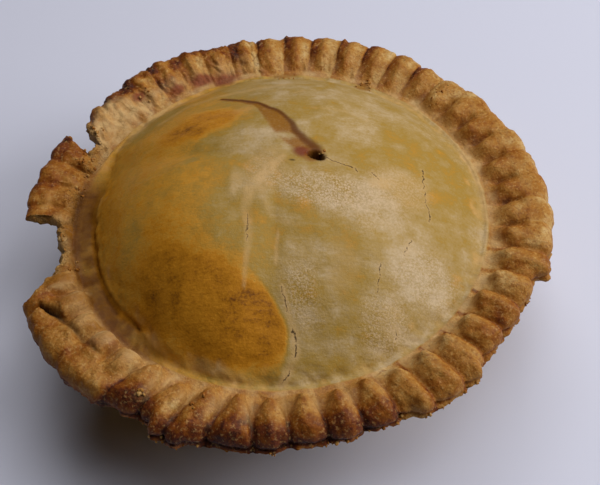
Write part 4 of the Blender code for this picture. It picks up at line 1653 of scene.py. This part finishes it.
def loose_crumbs(points, known):
    """The crumbs' points, triangles and marks: jittered balls on the nearest points of the crust."""
    chance = np.random.default_rng(CRUMB_SEED)
    kind = known["kind"]
    on_top = points[(kind == ON_LID) | (kind == ON_RIM)]
    centres = []
    sizes = []
    for x, y, reach, count, size in CRUMB_PATCHES:
        wanted = np.array([x, y]) + chance.normal(0.0, reach / 2.0, (count, 2))
        gaps = np.hypot(on_top[None, :, 0] - wanted[:, None, 0], on_top[None, :, 1] - wanted[:, None, 1])
        centres.append(on_top[np.argmin(gaps, axis=1)])
        sizes.append(size * chance.uniform(*CRUMB_SIZES, count))
    start, stop, count, size = SKIRT_CRUMBS
    skirt = (kind == ON_EDGE) & (np.abs(points[:, 2] - SKIRT_LIP_HEIGHT) < SKIRT_CRUMB_REACH)
    skirt = np.flatnonzero(skirt & (known["column"] > start) & (known["column"] < stop))
    centres.append(points[chance.choice(skirt, count)])
    sizes.append(size * chance.uniform(*SKIRT_CRUMB_SIZES, count))
    centres = np.concatenate(centres)
    sizes = np.concatenate(sizes)
    ball, triangles = crumb_shape()
    shapes = ball[None] * chance.uniform(*CRUMB_CORNERS, (len(centres), len(ball), 1))
    shapes = shapes * chance.uniform(*CRUMB_SIDES, (len(centres), 1, 3)) * sizes[:, None, None]
    shapes = shapes + centres[:, None] + np.array([0.0, 0.0, CRUMB_SINKING]) * sizes[:, None, None]
    faces = triangles[None] + (np.arange(len(centres)) * len(ball))[:, None, None]
    bake_and_shade = np.repeat(chance.uniform(*CRUMB_BAKES, len(centres)), len(ball))
    marks = {"bake_and_shade": bake_and_shade, "on_crimps": np.ones_like(bake_and_shade)}
    return shapes.reshape(-1, 3), faces.reshape(-1, 3), marks


points, faces, known = crust_skin()
marks = crust_marks(points, known)
skin = roughened(points, faces, known)
pastry = crust_material()
crust = mesh_piece("baked_crust", skin, faces, marks, pastry)
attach(crust, "root")
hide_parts("pork_pie")

crumbs = mesh_piece("loose_crumbs", *loose_crumbs(skin, known), pastry)
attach(crumbs, "root")

# The floor
FLOOR_SIZE = 4.0
FLOOR_COLOUR = srgb(205, 206, 222)
FLOOR_ROUGHNESS = 0.7
bpy.ops.mesh.primitive_plane_add(size=FLOOR_SIZE, location=(0.0, 0.0, 0.0))
floor = bpy.context.active_object
floor.name = "floor"
floor.data.materials.append(plain_material("floor_paint", FLOOR_COLOUR, FLOOR_ROUGHNESS))

# The camera, at the photograph's view
CAMERA_PLACE = (19.16, -262.87, 351.65)
CAMERA_AIM = (6.21, -12.22, 45.0)
CAMERA_ROLL = -3.82
CAMERA_LENS = 72.0
CAMERA_SENSOR = 36.0
CAMERA_NEAREST = 0.01


def look_at(place, aim, roll):
    """The matrix of something at a place that looks at an aim, rolled about its line of sight."""
    place = Vector(place) * MM
    back = (place - Vector(aim) * MM).normalized()
    right = Vector((0.0, 0.0, 1.0)).cross(back).normalized()
    up = back.cross(right)
    c = np.cos(np.radians(roll))
    s = np.sin(np.radians(roll))
    turned_right = right * c + up * s
    turned_up = up * c - right * s
    matrix = Matrix((turned_right, turned_up, back)).transposed().to_4x4()
    matrix.translation = place
    return matrix


camera_data = bpy.data.cameras.new("camera")
camera_data.lens = CAMERA_LENS
camera_data.sensor_width = CAMERA_SENSOR
camera_data.sensor_fit = "HORIZONTAL"
camera_data.clip_start = CAMERA_NEAREST
camera = bpy.data.objects.new("camera", camera_data)
bpy.context.scene.collection.objects.link(camera)
camera.matrix_world = look_at(CAMERA_PLACE, CAMERA_AIM, CAMERA_ROLL)
bpy.context.scene.camera = camera

# The light: soft squares to the right, behind and overhead, as azimuth, elevation and power
LAMPS = (
    (0.0, 30.0, 6.8),
    (0.0, 55.0, 3.1),
    (90.0, 55.0, 3.7),
    (0.0, 80.0, 3.0),
)
LAMP_SIZE = 600.0
LAMP_DISTANCE = 1100.0
LAMP_AIM = (0.0, 0.0, 30.0)
ROOM_COLOUR = srgb(190, 196, 214)
ROOM_STRENGTH = 0.01


def soft_light(number, azimuth, elevation, power):
    """A square area light that points at the pie from a direction."""
    light = bpy.data.lights.new("lamp_%d" % number, "AREA")
    light.shape = "SQUARE"
    light.size = LAMP_SIZE * MM
    light.energy = power
    lamp = bpy.data.objects.new("lamp_%d" % number, light)
    bpy.context.scene.collection.objects.link(lamp)
    turn = np.radians(azimuth)
    lift = np.radians(elevation)
    outward = np.array([np.cos(lift) * np.cos(turn), np.cos(lift) * np.sin(turn), np.sin(lift)])
    place = np.array(LAMP_AIM) + LAMP_DISTANCE * outward
    lamp.matrix_world = look_at(place.tolist(), LAMP_AIM, 0.0)


for number, (azimuth, elevation, power) in enumerate(LAMPS):
    soft_light(number, azimuth, elevation, power)
world = bpy.data.worlds.new("room")
world.use_nodes = True
world.node_tree.nodes["Background"].inputs["Color"].default_value = ROOM_COLOUR
world.node_tree.nodes["Background"].inputs["Strength"].default_value = ROOM_STRENGTH
bpy.context.scene.world = world
bpy.context.scene.view_settings.view_transform = "Standard"
